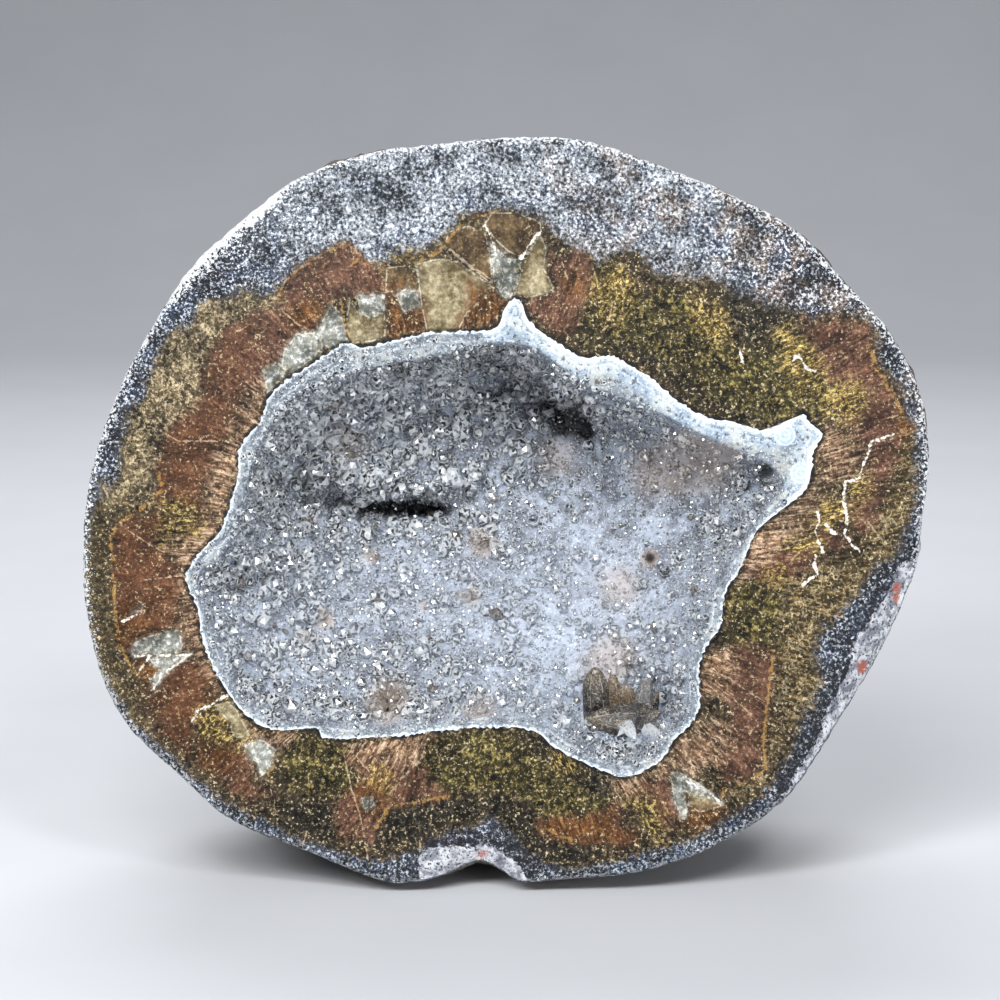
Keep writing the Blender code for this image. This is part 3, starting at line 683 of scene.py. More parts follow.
# The nodule: cut face, edge and natural back, in one closed mesh
nodule = {
    "facePitch": 2.9 * pixel,
    "veinStep": 2.0,          # pixels between the points along a vein
    "veinRows": (-3.0, -1.2, 0.0, 1.2, 3.0),
    "veinWobble": 1.1,
    "rimGap": 0.05 * mm,
    "edgeBevel": 0.3 * mm,
    "edgeNicks": 0.16 * mm,
    "backRings": 62,
    "topPower": 2.1,
    "heelPower": 4.4,
    "heelTurn": 1.5,          # how late the back's curve turns fuller on the way down
    "cornerSpan": 27,         # sectors to each side that round off the outline behind the face
    "roundBy": 0.25,
    "lumpHeight": 1.8 * mm,
    "lumpSize": 15 * mm,
    "lumpFade": 8 * mm,
    "lumpsFrom": 0.3,         # how deep the point is that lumps grow away from, as a share
    # roughness: size, octaves, seed
    "coarse": (7 * mm, 4, 3.1),
    "fine": (1.6 * mm, 3, 8.4),
    "pits": (4.5 * mm, 2, 5.7),
    "broken": (2.2 * mm, 4, 1.3),
    "nicks": (1.4 * mm, 3, 2.2),
    "wobble": ((0.6 * mm, 2, 5.1), (0.6 * mm, 2, 7.7)),
    "chip": ((900, 560), (790, 790)),
    "chipSlope": 0.8,
    "dimple": (478, 897),
    "dimpleRadius": 48 * pixel,
    "dimpleSlope": 0.7,
    "brokenRelief": 0.55 * mm,
    "rindRelief": 0.55 * mm,
    "rindFade": 1.5 * mm,
    "fineShare": 0.6,
    "pitDepth": 1.1 * mm,
    "pitFrom": 0.35,
    "brokenFade": 0.6 * mm,
    "sharpest": math.radians(50),
    "seed": 11,
}


def fallBack(points):  # how far the face falls back at the broken edge and the dimple
    start, end = onFace(nodule["chip"])
    along = (end - start) / np.linalg.norm(end - start)
    outward = np.array([-along[1], along[0]])
    chip = nodule["chipSlope"] * np.clip((points - start) @ outward, 0, None)
    away = points - onFace([nodule["dimple"]])[0]
    reach = nodule["dimpleRadius"] - np.hypot(away[:, 0], away[:, 1])
    return np.maximum(chip, nodule["dimpleSlope"] * np.clip(reach, 0, None))


def rounded(ring, share, span):
    kernel = np.ones(2 * span + 1) / (2 * span + 1)
    padded = np.concatenate([ring[-span:], ring, ring[:span]])
    soft = np.column_stack([np.convolve(padded[:, k], kernel, "valid") for k in (0, 1)])
    return ring + (soft - ring) * min(share, 1)


def backRing(share):
    middle = onFace([cut["back"]])[0]
    arms = rounded(outlineRing, share / nodule["roundBy"], nodule["cornerSpan"]) - middle
    down = np.clip(-arms[:, 1] / np.hypot(arms[:, 0], arms[:, 1]), 0, 1)
    power = nodule["topPower"] + (nodule["heelPower"] - nodule["topPower"]) * down ** nodule["heelTurn"]
    reach = (1 - share**power) ** (1 / power)
    ring = withDepth(middle + arms * reach[:, None], share * cut["depth"])
    edge = fallBack(outlineRing)
    ring[:, 2] = np.maximum(ring[:, 2], edge + share * (cut["depth"] - edge))
    return ring


def outwards(points):
    middle = np.array([*onFace([cut["back"]])[0], nodule["lumpsFrom"] * cut["depth"]])
    out = points - middle
    return out / np.linalg.norm(out, axis=1)[:, None]


def weathered(points):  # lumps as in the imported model, then the rind's own roughness and pits
    lumps = np.array([noise.noise(Vector(p / nodule["lumpSize"])) for p in points])
    coarse, fine = roughness(points, *nodule["coarse"]), roughness(points, *nodule["fine"])
    pits = np.clip(roughness(points, *nodule["pits"]) - nodule["pitFrom"], 0, 1)
    pits *= np.clip(fine + nodule["fineShare"], 0, 1)
    height = nodule["lumpHeight"] * lumps * np.clip(points[:, 2] / nodule["lumpFade"], 0, 1)
    rind = nodule["rindRelief"] * (coarse + nodule["fineShare"] * fine) - nodule["pitDepth"] * pits
    height += rind * np.clip(points[:, 2] / nodule["rindFade"], 0, 1)
    return points + outwards(points) * height[:, None]


def veinPoints():  # rows of points along every vein, so that thin lines stay sharp
    rows = []
    for _, drawn in veins + hairs + goldBorders:
        line = np.array(drawn, float)
        lengths = np.hypot(*np.diff(line, axis=0).T)
        marks = np.concatenate([[0], np.cumsum(lengths)])
        steps = np.arange(0, marks[-1], nodule["veinStep"])
        middle = np.column_stack([np.interp(steps, marks, line[:, k]) for k in (0, 1)])
        heading = np.gradient(middle, axis=0) if len(middle) > 1 else np.array([[1.0, 0.0]])
        heading /= np.linalg.norm(heading, axis=1)[:, None]
        side = np.column_stack([-heading[:, 1], heading[:, 0]])
        rows += [middle + side * away for away in nodule["veinRows"]]
    return onFace(np.concatenate(rows))


def faceRelief(points, edgeDistance):
    depth = fallBack(points)
    broken = np.clip(depth / nodule["brokenFade"], 0, 1)
    rough = roughness(withDepth(points, 0), *nodule["broken"])
    depth += broken * nodule["brokenRelief"] * rough
    return depth + 0.5 * nodule["edgeBevel"] * (edgeDistance < 0.4 * nodule["edgeBevel"])


def makeNodule():
    nicks = roughness(withDepth(outlineRing, 0), *nodule["nicks"])
    toCentre = outlineRing - onFace([cut["back"]])[0]
    toCentre /= np.linalg.norm(toCentre, axis=1)[:, None]
    edge = outlineRing + toCentre * (nodule["edgeNicks"] * nicks)[:, None]
    faceEdge = edge - toCentre * nodule["edgeBevel"]
    outOfRim = rimRing - centre
    opened = rimRing + outOfRim / np.linalg.norm(outOfRim, axis=1)[:, None] * nodule["rimGap"]

    inner = scattered(outlineRing, nodule["facePitch"], nodule["seed"])
    inner = np.concatenate([inner, veinPoints()])
    kept = inside(faceEdge, inner) & ~inside(opened, inner)
    inner = inner[kept]
    clear = 0.5 * nodule["facePitch"]
    inner = inner[(distanceTo(rimCurve, inner) > clear) & (distanceTo(outlineCurve, inner) > clear)]
    flat, faces = filled([opened, faceEdge], inner)
    middles = flat[faces].mean(1)
    faces = faces[~inside(opened, middles)]
    faceDepth = faceRelief(flat, distanceTo(outlineCurve, flat))
    faceDepth[: cut["sectors"]] = 0
    points = [withDepth(flat, faceDepth)]
    allFaces = [faces]

    def cavity(ring):
        return undersideDepth(ring) + hollow["cavityGap"]

    tip = withDepth(centre[None], cavity(centre[None]))
    closedOff(points, allFaces, 0, undersideRings(opened, cavity), tip, inward=True)

    # round the back, in rings of even width
    firstBack = sum(map(len, points))
    shares = np.sin(np.linspace(0, math.pi / 2, nodule["backRings"] + 2))[1:-1]
    shares = [share for share in shares if share * cut["depth"] > 2 * nodule["edgeBevel"]]
    rings = [withDepth(edge, fallBack(edge) + nodule["edgeBevel"])]
    rings += [weathered(backRing(share)) for share in shares]
    tip = weathered(withDepth(onFace([cut["back"]]), cut["depth"]))
    closedOff(points, allFaces, cut["sectors"], rings, tip)

    flatPoints = np.concatenate(points)
    faces = np.concatenate(allFaces)
    piece = makePiece("nodule", stoodUp(flatPoints, 0), faces, nodule["sharpest"])
    seen = inPixels(flatPoints[:, :2])
    for name, outlines in stones.items():
        field = np.full(len(flatPoints), -fieldReach * pixel / mm)
        field[: len(flat)] = zoneField(outlines, seen[: len(flat)], name in windows)
        store(piece, name, field)
    wobble = np.column_stack([roughness(withDepth(flat, 0), *grain) for grain in nodule["wobble"]])
    for name, lines in (("vein", veins), ("hair", hairs), ("goldBorder", goldBorders)):
        field = np.full(len(flatPoints), fieldReach * pixel / mm)
        field[: len(flat)] = lineField(lines, seen[: len(flat)] + nodule["veinWobble"] * wobble)
        store(piece, name, field)
    fromRim = distanceTo(rimCurve, flatPoints[:, :2])
    store(piece, "fromRim", fromRim / mm)
    store(piece, "fromEdge", distanceTo(outlineCurve, flatPoints[:, :2]) / mm)
    store(piece, "grainSpace", grainSpace(flatPoints[:, :2], fromRim))
    onBack = np.zeros(len(flatPoints), bool)
    onBack[firstBack:] = True
    return piece, onBack


def grainSpace(points, fromRim):
    # Length along the rim, wound round a cylinder so that it has no seam, and distance from the
    # rim, in millimetres. Grain that is stretched along the third axis runs out from the hollow.
    bearing = np.arctan2(*(points - centre).T[::-1])
    travelled = np.concatenate([[0], np.cumsum(np.hypot(*np.diff(rimRing, axis=0).T))])
    around = np.interp(bearing, np.append(angles, math.pi), np.append(travelled, travelled[-1]))
    girth = travelled[-1] + np.linalg.norm(rimRing[0] - rimRing[-1])
    turn = around / girth * 2 * math.pi
    radius = girth / (2 * math.pi)
    return np.column_stack([radius * np.cos(turn), radius * np.sin(turn), fromRim]) / mm


noduleSurface, noduleBack = makeNodule()
print("nodule made:", len(noduleSurface.data.polygons), "faces")


# The crust: a thin rim of chalcedony on the cut face, then the floor that the crystals grow on
crust = {
    "finePitch": 0.21 * mm,
    "coarsePitch": 0.36 * mm,
    "fineReach": 3.2 * mm,    # the fine pitch reaches this far in from the lip
    "band": 0.22 * mm,        # solid chalcedony, flush with the cut face
    "smoothReach": 3.4 * mm,  # from the rim
    "cutSink": 0.32 * mm,     # the crystals that the saw cut stand on a floor this far down
    "bandFade": 0.35 * mm,
    "smoothFade": 1.2 * mm,
    "smoothRise": 0.85,       # how much of that sink the smooth band is spared
    # roughness: size, octaves, seed
    "lumps": (3.4 * mm, 3, 4.4),
    "lumpHeight": 0.8 * mm,
    "knobs": (0.9 * mm, 2, 9.1),
    "knobHeight": 0.22 * mm,
    "reliefFade": 1.6 * mm,
    "seeds": (21, 22),
    "sharpest": math.radians(60),
    "chalcedonyFade": 0.5,    # millimetres
    # a band with no crystals: pixels
    "chalcedony": [
        (500, 296), (522, 303), (545, 335), (600, 350), (652, 372), (700, 408), (765, 428),
        (800, 412), (832, 436), (815, 485), (798, 508), (782, 498), (776, 474), (735, 455),
        (690, 438), (650, 424), (600, 398), (560, 378), (530, 352), (500, 345), (480, 336),
    ],
    # painted shade, darker places (or, below zero, painted light, lighter places): x, y, radius in
    # pixels, strength. The shade lies in the slot, the crevice, under the lip and in holes and pits, the
    # light on the floor that faces up
    "paintedLightAndShadeSpots": [
        (340, 430, 85, 0.1), (440, 400, 55, 0.16), (300, 480, 50, 0.1), (430, 470, 60, 0.1),
        (345, 508, 10, 0.4), (358, 510, 6, 0.8), (368, 507, 7, 1.0), (379, 509, 7, 1.4),
        (390, 507, 8, 1.5), (401, 509, 8, 1.6), (413, 508, 8, 1.5), (424, 510, 8, 1.4),
        (433, 509, 6, 1.1), (440, 512, 5, 0.7),
        (490, 352, 13, 0.5), (512, 360, 15, 0.5), (538, 380, 17, 0.5), (558, 402, 12, 0.6),
        (574, 415, 15, 1.5), (590, 426, 10, 1.2), (562, 422, 9, 1.0), (580, 404, 9, 0.7),
        (552, 398, 12, 0.3), (640, 440, 50, 0.1), (725, 455, 24, 0.16),
        (430, 362, 12, 0.4), (400, 365, 8, 0.6), (468, 360, 12, 0.5), (390, 368, 9, 0.4),
        (768, 470, 9, 1.1), (655, 560, 6, 1.2), (668, 577, 4, 1.0), (470, 500, 12, 0.4),
        (250, 470, 14, 0.2), (268, 480, 8, 0.6), (480, 545, 8, 0.3), (545, 440, 14, 0.4),
        (300, 470, 10, 0.5), (325, 478, 9, 0.5), (448, 452, 10, 0.5), (520, 430, 8, 0.6),
        (352, 520, 6, 0.7), (508, 468, 7, 0.6), (600, 455, 8, 0.5), (470, 400, 7, 0.5),
        (330, 600, 80, -0.2), (450, 590, 70, -0.2), (600, 610, 90, -0.3), (520, 680, 70, -0.25),
        (240, 640, 40, -0.2), (235, 520, 40, -0.15), (640, 640, 60, -0.2), (512, 315, 4, 0.9),
        (514, 328, 4, 0.9),
    ],
    "eyes": [(785, 435), (801, 473)],
    "stains": [  # warm spots: x, y, radius in pixels, strength
        (386, 704, 17, 1.0), (319, 624, 9, 0.7), (364, 559, 8, 0.6), (482, 546, 13, 0.7),
        (470, 602, 9, 0.5), (625, 590, 26, 0.35), (600, 675, 30, 0.22), (480, 715, 20, 0.35),
        (655, 560, 8, 0.8), (300, 640, 6, 0.5), (420, 610, 6, 0.4), (620, 660, 22, 0.4),
        (710, 458, 34, 0.5), (660, 470, 30, 0.35), (560, 455, 26, 0.3), (340, 440, 30, 0.25),
    ],
    "clusters": (3.6 * mm, 2, 6.6),
    "clusterContrast": 1.6,
    "leastBeads": 0.04,       # the share of them between the clusters
    "leastGrains": 0.25,      # the share of them within the clusters
    "paleShade": 0.35,        # the strength of painted light that counts as quite pale, and how many grains it loses
    "paleGrains": 0.1,
    "lipSizes": (0.55, 0.5, 3 * mm),  # crystals' size at the lip, the least, and where they are whole
    "crowds": [  # more (or, below zero, fewer) beads
        (380, 509, 14, -2), (415, 510, 14, -2), (576, 416, 14, -2),
        (350, 420, 100, 0.5), (270, 560, 60, 0.3), (470, 430, 60, 0.2), (230, 600, 50, 0.3),
        (640, 520, 80, -0.4), (690, 455, 60, -0.2), (560, 500, 60, -0.1), (480, 690, 60, 0.2),
        (640, 640, 50, 0.2),
    ],
    "sizes": [  # coarser (or, below zero, finer) crystals
        (330, 420, 90, 0.25), (270, 560, 70, 0.15), (640, 520, 90, -0.22), (560, 640, 90, -0.25),
        (660, 700, 60, -0.1), (420, 620, 60, 0.05),
    ],
}


def blobs(entries, points):  # soft round spots added up, with signs kept, within -1 to 1
    total = np.zeros(len(points))
    for x, y, radius, strength in entries:
        squared = ((points - (x, y)) ** 2).sum(1)
        total += strength * np.exp(-squared / radius**2)
    return np.clip(total, -1, 1)


def makeCrust():
    fine = scattered(rimRing, crust["finePitch"], crust["seeds"][0])
    coarse = scattered(rimRing, crust["coarsePitch"], crust["seeds"][1])
    fine = fine[inside(rimRing, fine)]
    coarse = coarse[inside(lipRing, coarse)]
    fromLip = np.where(inside(lipRing, fine), distanceTo(lipCurve, fine), 0)
    clear = distanceTo(rimCurve, fine) > 0.5 * crust["finePitch"]
    fine = fine[(fromLip < crust["fineReach"]) & clear]
    coarse = coarse[distanceTo(lipCurve, coarse) >= crust["fineReach"]]
    flat, faces = filled([rimRing], np.concatenate([fine, coarse]))
    fromRim = distanceTo(rimCurve, flat)
    fromLip = np.where(inside(lipRing, flat), 1, -1) * distanceTo(lipCurve, flat)
    smooth = zoneField([crust["chalcedony"]], inPixels(flat))
    smooth = np.clip(smooth / crust["chalcedonyFade"], 0, 1)
    depth = floorDepth(flat, np.clip(fromLip, 0, None))
    lumps = roughness(withDepth(flat, depth), *crust["lumps"])
    knobs = roughness(withDepth(flat, depth), *crust["knobs"])
    within = np.clip(fromLip / crust["reliefFade"], 0, 1)
    depth += within * (crust["lumpHeight"] * lumps + crust["knobHeight"] * knobs)
    smooth *= np.clip((crust["smoothReach"] - fromRim) / crust["smoothFade"], 0, 1)
    sink = np.clip((fromRim - crust["band"]) / crust["bandFade"], 0, 1)
    depth += crust["cutSink"] * sink * (1 - crust["smoothRise"] * smooth)
    depth = np.maximum(depth, 0)

    def under(ring):
        least = floorDepth(ring, distanceTo(lipCurve, ring)) + hollow["leastThickness"]
        return np.maximum(undersideDepth(ring), least)

    points, allFaces = [withDepth(flat, depth)], [faces]
    tip = withDepth(centre[None], undersideDepth(centre[None]))
    closedOff(points, allFaces, 0, undersideRings(rimRing, under), tip)

    everything = np.concatenate(points)
    faces = np.concatenate(allFaces)
    piece = makePiece("crustSurface", stoodUp(everything), faces, crust["sharpest"])
    seen = inPixels(everything[:, :2])
    front = np.arange(len(everything)) < len(flat)
    allFromLip = np.zeros(len(everything))
    allFromLip[: len(flat)] = fromLip
    store(piece, "fromRim", distanceTo(rimCurve, everything[:, :2]) / mm)
    store(piece, "fromLip", allFromLip / mm)
    eyes = onFace(crust["eyes"])
    away = [np.hypot(*(everything[:, :2] - eye).T) for eye in eyes]
    store(piece, "eye", np.minimum(*away) / mm)
    store(piece, "smooth", np.where(front, np.resize(smooth, len(everything)), 0))
    # painted shade and painted light for the crust's colours
    store(piece, "paintedLightAndShade", blobs(crust["paintedLightAndShadeSpots"], seen))
    store(piece, "stain", blobs(crust["stains"], seen))
    atLip, least, reach = crust["lipSizes"]
    sizes = (1 + blobs(crust["sizes"], seen)) * np.clip(atLip + allFromLip / reach, least, 1)
    store(piece, "crystalSize", sizes)
    bare = np.zeros(len(everything))
    bare[: len(flat)] = sink * (1 - smooth)
    clusters = roughness(everything, *crust["clusters"])
    clusters = np.clip(0.5 + crust["clusterContrast"] * clusters, 0, 1)
    # fewer grains where painted light makes the floor pale
    pale = np.clip(-blobs(crust["paintedLightAndShadeSpots"], seen) / crust["paleShade"], 0, 1)
    few = crust["leastGrains"]
    grains = (few + (1 - few) * (1 - clusters)) * (1 - crust["paleGrains"] * pale)
    store(piece, "grainCover", bare * grains)
    beads = np.clip(clusters + blobs(crust["crowds"], seen), crust["leastBeads"], 1)
    store(piece, "beadCover", bare * beads**2)
    return piece


crustSurface = makeCrust()
print("crust made:", len(crustSurface.data.polygons), "faces")


# The druse: small quartz crystals scattered over the crust, first beads in loose clusters and then
# fine grains between them. Forms: prism height, shoulder height, point height, off-centre share of
# the point, all in crystal widths.
druse = {
    "beads": {
        "spacing": 0.95 * mm,
        "candidates": 6e6,    # tries for a place, for each square metre
        "width": 1.62 * mm,
        "variation": 0.46,
        "lean": math.radians(24),
        "pull": 0.9,          # how far they turn out of the cut face instead of off the crust
        "seed": 5,
        "cover": "beadCover",
        "forms": [
            (0.34, 0.20, 0.12, 0.05), (0.50, 0.18, 0.14, 0.12), (0.26, 0.24, 0.10, 0.0),
            (0.44, 0.22, 0.18, 0.16),
        ],
    },
    "grains": {
        "spacing": 0.56 * mm,
        "candidates": 7e6,
        "width": 0.62 * mm,
        "variation": 0.45,
        "lean": math.radians(45),
        "pull": 0.5,
        "seed": 9,
        "cover": "grainCover",
        "forms": [
            (0.30, 0.0, 0.42, 0.05), (0.48, 0.0, 0.36, 0.12), (0.22, 0.0, 0.52, 0.0),
        ],
    },
    "root": 0.5,              # how deep the foot stands in the crust
    "foot": 0.86,             # the foot's width
    "shoulder": 0.62,         # the shoulder ring's width
    "sizeSeed": 3,
    "formSeed": 8,
    "toneSeed": 4,
    "sawn": 0.01 * mm,        # how far behind the cut face the saw left the crystals
}


def crystalForm(name, prism, shoulder, point, offCentre, chance):
    corners = [math.radians(60 * k + chance.uniform(-9, 9)) for k in range(6)]
    reach = [0.5 * chance.uniform(0.86, 1.1) for _ in corners]
    ring = [(r * math.cos(a), r * math.sin(a)) for r, a in zip(reach, corners)]
    off = (offCentre * chance.uniform(-1, 1), offCentre * chance.uniform(-1, 1))
    foot = druse["foot"]
    points = [(foot * x, foot * y, -druse["root"]) for x, y in ring]
    points += [(x, y, prism * chance.uniform(0.86, 1.14)) for x, y in ring]
    growth = [0.0] * 6 + [1.0] * 6
    if shoulder:
        width = druse["shoulder"]
        high = prism + shoulder
        points += [(width * x + off[0] * 0.5, width * y + off[1] * 0.5, high) for x, y in ring]
        growth += [1.5] * 6
    count = len(points)
    points.append((*off, prism + shoulder + point))
    faces = [(k, (k + 1) % 6, (k + 1) % 6 + 6, k + 6) for k in range(6)]
    if shoulder:
        faces += [(k + 6, (k + 1) % 6 + 6, (k + 1) % 6 + 12, k + 12) for k in range(6)]
    faces += [(count - 6 + k, count - 6 + (k + 1) % 6, count) for k in range(6)]
    faces.append(tuple(range(5, -1, -1)))
    mesh = bpy.data.meshes.new(name)
    mesh.from_pydata(points, [], faces)
    made = bpy.data.objects.new(name, mesh)
    store(made, "growth", [*growth, 2.0])  # from the root to the tip
    store(made, "facet", [chance.random() for _ in faces], "FACE")
    return made


# Node trees
bench = {"tree": None}  # the node tree that the next nodes go into


def joined(value, socket):
    bench["tree"].links.new(value, socket)


def linked(kind, inputs=None, **settings):  # adds a node, sets it and links its inputs
    node = bench["tree"].nodes.new(kind)
    for key, value in settings.items():
        setattr(node, key, value)
    for key, value in (inputs or {}).items():
        if isinstance(value, bpy.types.NodeSocket):
            joined(value, node.inputs[key])
        else:
            node.inputs[key].default_value = value
    return node


def calc(operation, *values):
    return linked("ShaderNodeMath", dict(enumerate(values)), operation=operation).outputs[0]


def newGroup(name, inputs, output, outputKind, treeKind="ShaderNodeTree"):
    group = bpy.data.node_groups.new(name, treeKind)
    for label, kind in inputs.items():
        group.interface.new_socket(label, in_out="INPUT", socket_type="NodeSocket" + kind)
    group.interface.new_socket(output, in_out="OUTPUT", socket_type="NodeSocket" + outputKind)
    bench["tree"] = group
    given = group.nodes.new("NodeGroupInput").outputs
    return group, given, group.nodes.new("NodeGroupOutput").inputs[0]


def chanceOf(kind, least, most, seed):  # a random value for each crystal
    first = {"FLOAT_VECTOR": 0, "FLOAT": 2, "INT": 4}[kind]
    inputs = {first: least, first + 1: most, "Seed": seed}
    return linked("FunctionNodeRandomValue", inputs, data_type=kind).outputs[first // 2]


def scatterTree():
    tree, given, result = newGroup("scatteredCrystals", {
        "Surface": "Geometry", "Crystals": "Collection", "Cover": "String", "Last Form": "Int",
        "Spacing": "Float", "Candidates": "Float", "Width": "Float", "Variation": "Float",
        "Lean": "Float", "Pull": "Vector", "Seed": "Int", "Finish": "Material",
    }, "Druse", "Geometry", "GeometryNodeTree")
    cover, size = (
        linked("GeometryNodeInputNamedAttribute", {"Name": name}, data_type="FLOAT").outputs["Attribute"]
        for name in (given["Cover"], "crystalSize")
    )
    places = linked("GeometryNodeDistributePointsOnFaces", {
        "Mesh": given["Surface"], "Distance Min": given["Spacing"], "Density Max": given["Candidates"],
        "Density Factor": cover, "Seed": given["Seed"],
    }, distribute_method="POISSON").outputs
    pulled = linked("ShaderNodeVectorMath", {0: places["Normal"], 1: given["Pull"]}, operation="ADD")
    upright = linked("FunctionNodeAlignRotationToVector", {"Vector": pulled.outputs[0]}, axis="Z")
    lowLean = calc("MULTIPLY", given["Lean"], -1.0)
    least = linked("ShaderNodeCombineXYZ", {"X": lowLean, "Y": lowLean, "Z": 0.0})
    most = linked("ShaderNodeCombineXYZ", {"X": given["Lean"], "Y": given["Lean"], "Z": 2 * math.pi})
    turned = linked("FunctionNodeRotateRotation", {
        "Rotation": upright.outputs["Rotation"],
        "Rotate By": chanceOf("FLOAT_VECTOR", least.outputs[0], most.outputs[0], given["Seed"]),
    }, rotation_space="LOCAL")
    smallest = calc("SUBTRACT", 1.0, given["Variation"])
    largest = calc("ADD", 1.0, given["Variation"])
    local = calc("MULTIPLY", chanceOf("FLOAT", smallest, largest, druse["sizeSeed"]), size)
    forms = linked("GeometryNodeCollectionInfo", {
        "Collection": given["Crystals"], "Separate Children": True, "Reset Children": True,
    })
    grown = linked("GeometryNodeInstanceOnPoints", {
        "Points": places["Points"], "Instance": forms.outputs[0], "Pick Instance": True,
        "Instance Index": chanceOf("INT", 0, given["Last Form"], druse["formSeed"]),
        "Rotation": turned.outputs["Rotation"], "Scale": calc("MULTIPLY", local, given["Width"]),
    })
    toned = linked("GeometryNodeStoreNamedAttribute", {
        "Geometry": grown.outputs[0], "Name": "tone",
        "Value": chanceOf("FLOAT", 0.0, 1.0, druse["toneSeed"]),
    }, data_type="FLOAT", domain="INSTANCE")
    real = linked("GeometryNodeRealizeInstances", {"Geometry": toned.outputs[0]})
    coated = linked("GeometryNodeSetMaterial", {
        "Geometry": real.outputs[0], "Material": given["Finish"],
    })
    joined(coated.outputs[0], result)
    return tree


def setInputs(modifier, values):
    for item in modifier.node_group.interface.items_tree:
        if item.item_type == "SOCKET" and item.in_out == "INPUT" and item.name in values:
            modifier[item.identifier] = values[item.name]


def inFace(points):  # world coordinates as face ones
    s, c = math.sin(cut["lean"]), math.cos(cut["lean"])
    low = onFace([(0, cut["low"])])[0][1]
    y = points[:, 1] + shift[1]
    z = points[:, 2] - cut["lift"] + low * c
    return np.column_stack([points[:, 0] + shift[0], y * s + z * c, y * c - z * s])


def makeDruse(kind, tree, finish):
    settings = druse[kind]
    outOfFace = Vector((0, -math.cos(cut["lean"]), math.sin(cut["lean"])))
    shelf = bpy.data.collections.new(kind + "Forms")
    chance = random.Random(settings["seed"])
    for number, form in enumerate(settings["forms"]):
        shelf.objects.link(crystalForm(f"{kind}Form{number}", *form, chance))
    grower = bpy.data.objects.new("druse" + kind.title(), crustSurface.data)
    bpy.context.scene.collection.objects.link(grower)
    modifier = grower.modifiers.new("scatteredCrystals", "NODES")
    modifier.node_group = tree
    setInputs(modifier, {
        "Crystals": shelf, "Cover": settings["cover"], "Last Form": len(settings["forms"]) - 1,
        "Spacing": settings["spacing"], "Candidates": settings["candidates"],
        "Width": settings["width"], "Variation": settings["variation"], "Lean": settings["lean"],
        "Pull": outOfFace * settings["pull"], "Seed": settings["seed"], "Finish": finish,
    })
    graph = bpy.context.evaluated_depsgraph_get()
    mesh = bpy.data.meshes.new_from_object(grower.evaluated_get(graph))
    grower.modifiers.clear()
    grower.data = mesh
    for form in list(shelf.objects):
        bpy.data.objects.remove(form)
    bpy.data.collections.remove(shelf)

    # the saw cut every crystal that would stand out of the face
    points = inFace(vertexArray(mesh))
    points[:, 2] = np.maximum(points[:, 2], druse["sawn"])
    mesh.vertices.foreach_set("co", stoodUp(points).astype(np.float32).ravel())
    mesh.update()
    seen = inPixels(points[:, :2])
    # painted shade and painted light, as on the crust, for the crystals' colours
    store(grower, "paintedLightAndShade", blobs(crust["paintedLightAndShadeSpots"], seen))
    store(grower, "stain", blobs(crust["stains"], seen))
    return grower


# The smoky crystals: foot and tip in pixels, then their depths, half width and half thickness in
# millimetres, the point's share of the length, how blunt the tip is, and the tone: smoky brown
# from 0, yellowish about 0.6, and grey or white near 1
smoky = {
    "tall": ((600, 738), (596, 669), 9.4, 6.0, 2.3, 1.8, 0.27, 0.35, 0.1),
    "blade": ((656, 725), (586, 722), 8.8, 4.2, 2.9, 1.5, 0.52, 0.05, 0.25),
    "behindLeft": ((617, 722), (614, 677), 9.8, 7.8, 1.15, 0.9, 0.30, 0.6, 0.62),
    "behindMiddle": ((629, 722), (628, 687), 9.8, 7.6, 1.9, 1.0, 0.50, 0.55, 0.6),
    "behindRight": ((645, 722), (648, 679), 9.8, 7.8, 1.6, 1.1, 0.45, 0.30, 0.78),
    "lowRight": ((634, 732), (663, 712), 9.2, 5.4, 1.3, 1.2, 0.45, 0.1, 0.3),
    "lowFront": ((622, 718), (637, 741), 8.0, 3.4, 1.1, 0.6, 0.4, 0.4, 0.95),
    "shardRight": ((645, 735), (667, 728), 8.8, 5.2, 1.0, 0.6, 0.5, 0.05, 0.72),
    "shardUp": ((655, 722), (661, 692), 9.4, 7.6, 0.7, 0.6, 0.5, 0.1, 0.3),
    "shardMiddle": ((634, 736), (648, 706), 9.0, 4.0, 1.1, 0.6, 0.5, 0.05, 0.3),
    "shardLow": ((640, 720), (618, 738), 8.6, 3.9, 0.8, 0.6, 0.5, 0.1, 0.95),
    "shardFar": ((640, 728), (663, 739), 8.6, 3.6, 1.1, 0.6, 0.4, 0.4, 0.97),
}
smokyDetail = {
    "growthLines": 9,
    "growthDepth": 0.025,
    "edgeShare": 0.15,        # how much of a side the bevel along each edge takes
    "edgeRounding": 0.96,
    "taper": 0.05,            # how much narrower the prism is at its top
    # rings of the point: how far below the tip, width, how much of the bluntness it gains, drift
    "pointRings": [(0.66, 0.76, 0, 0.3), (0.33, 0.44, 0.3, 0.7), (0.08, 0.10, 0.5, 0.95)],
    "seed": 31,
}


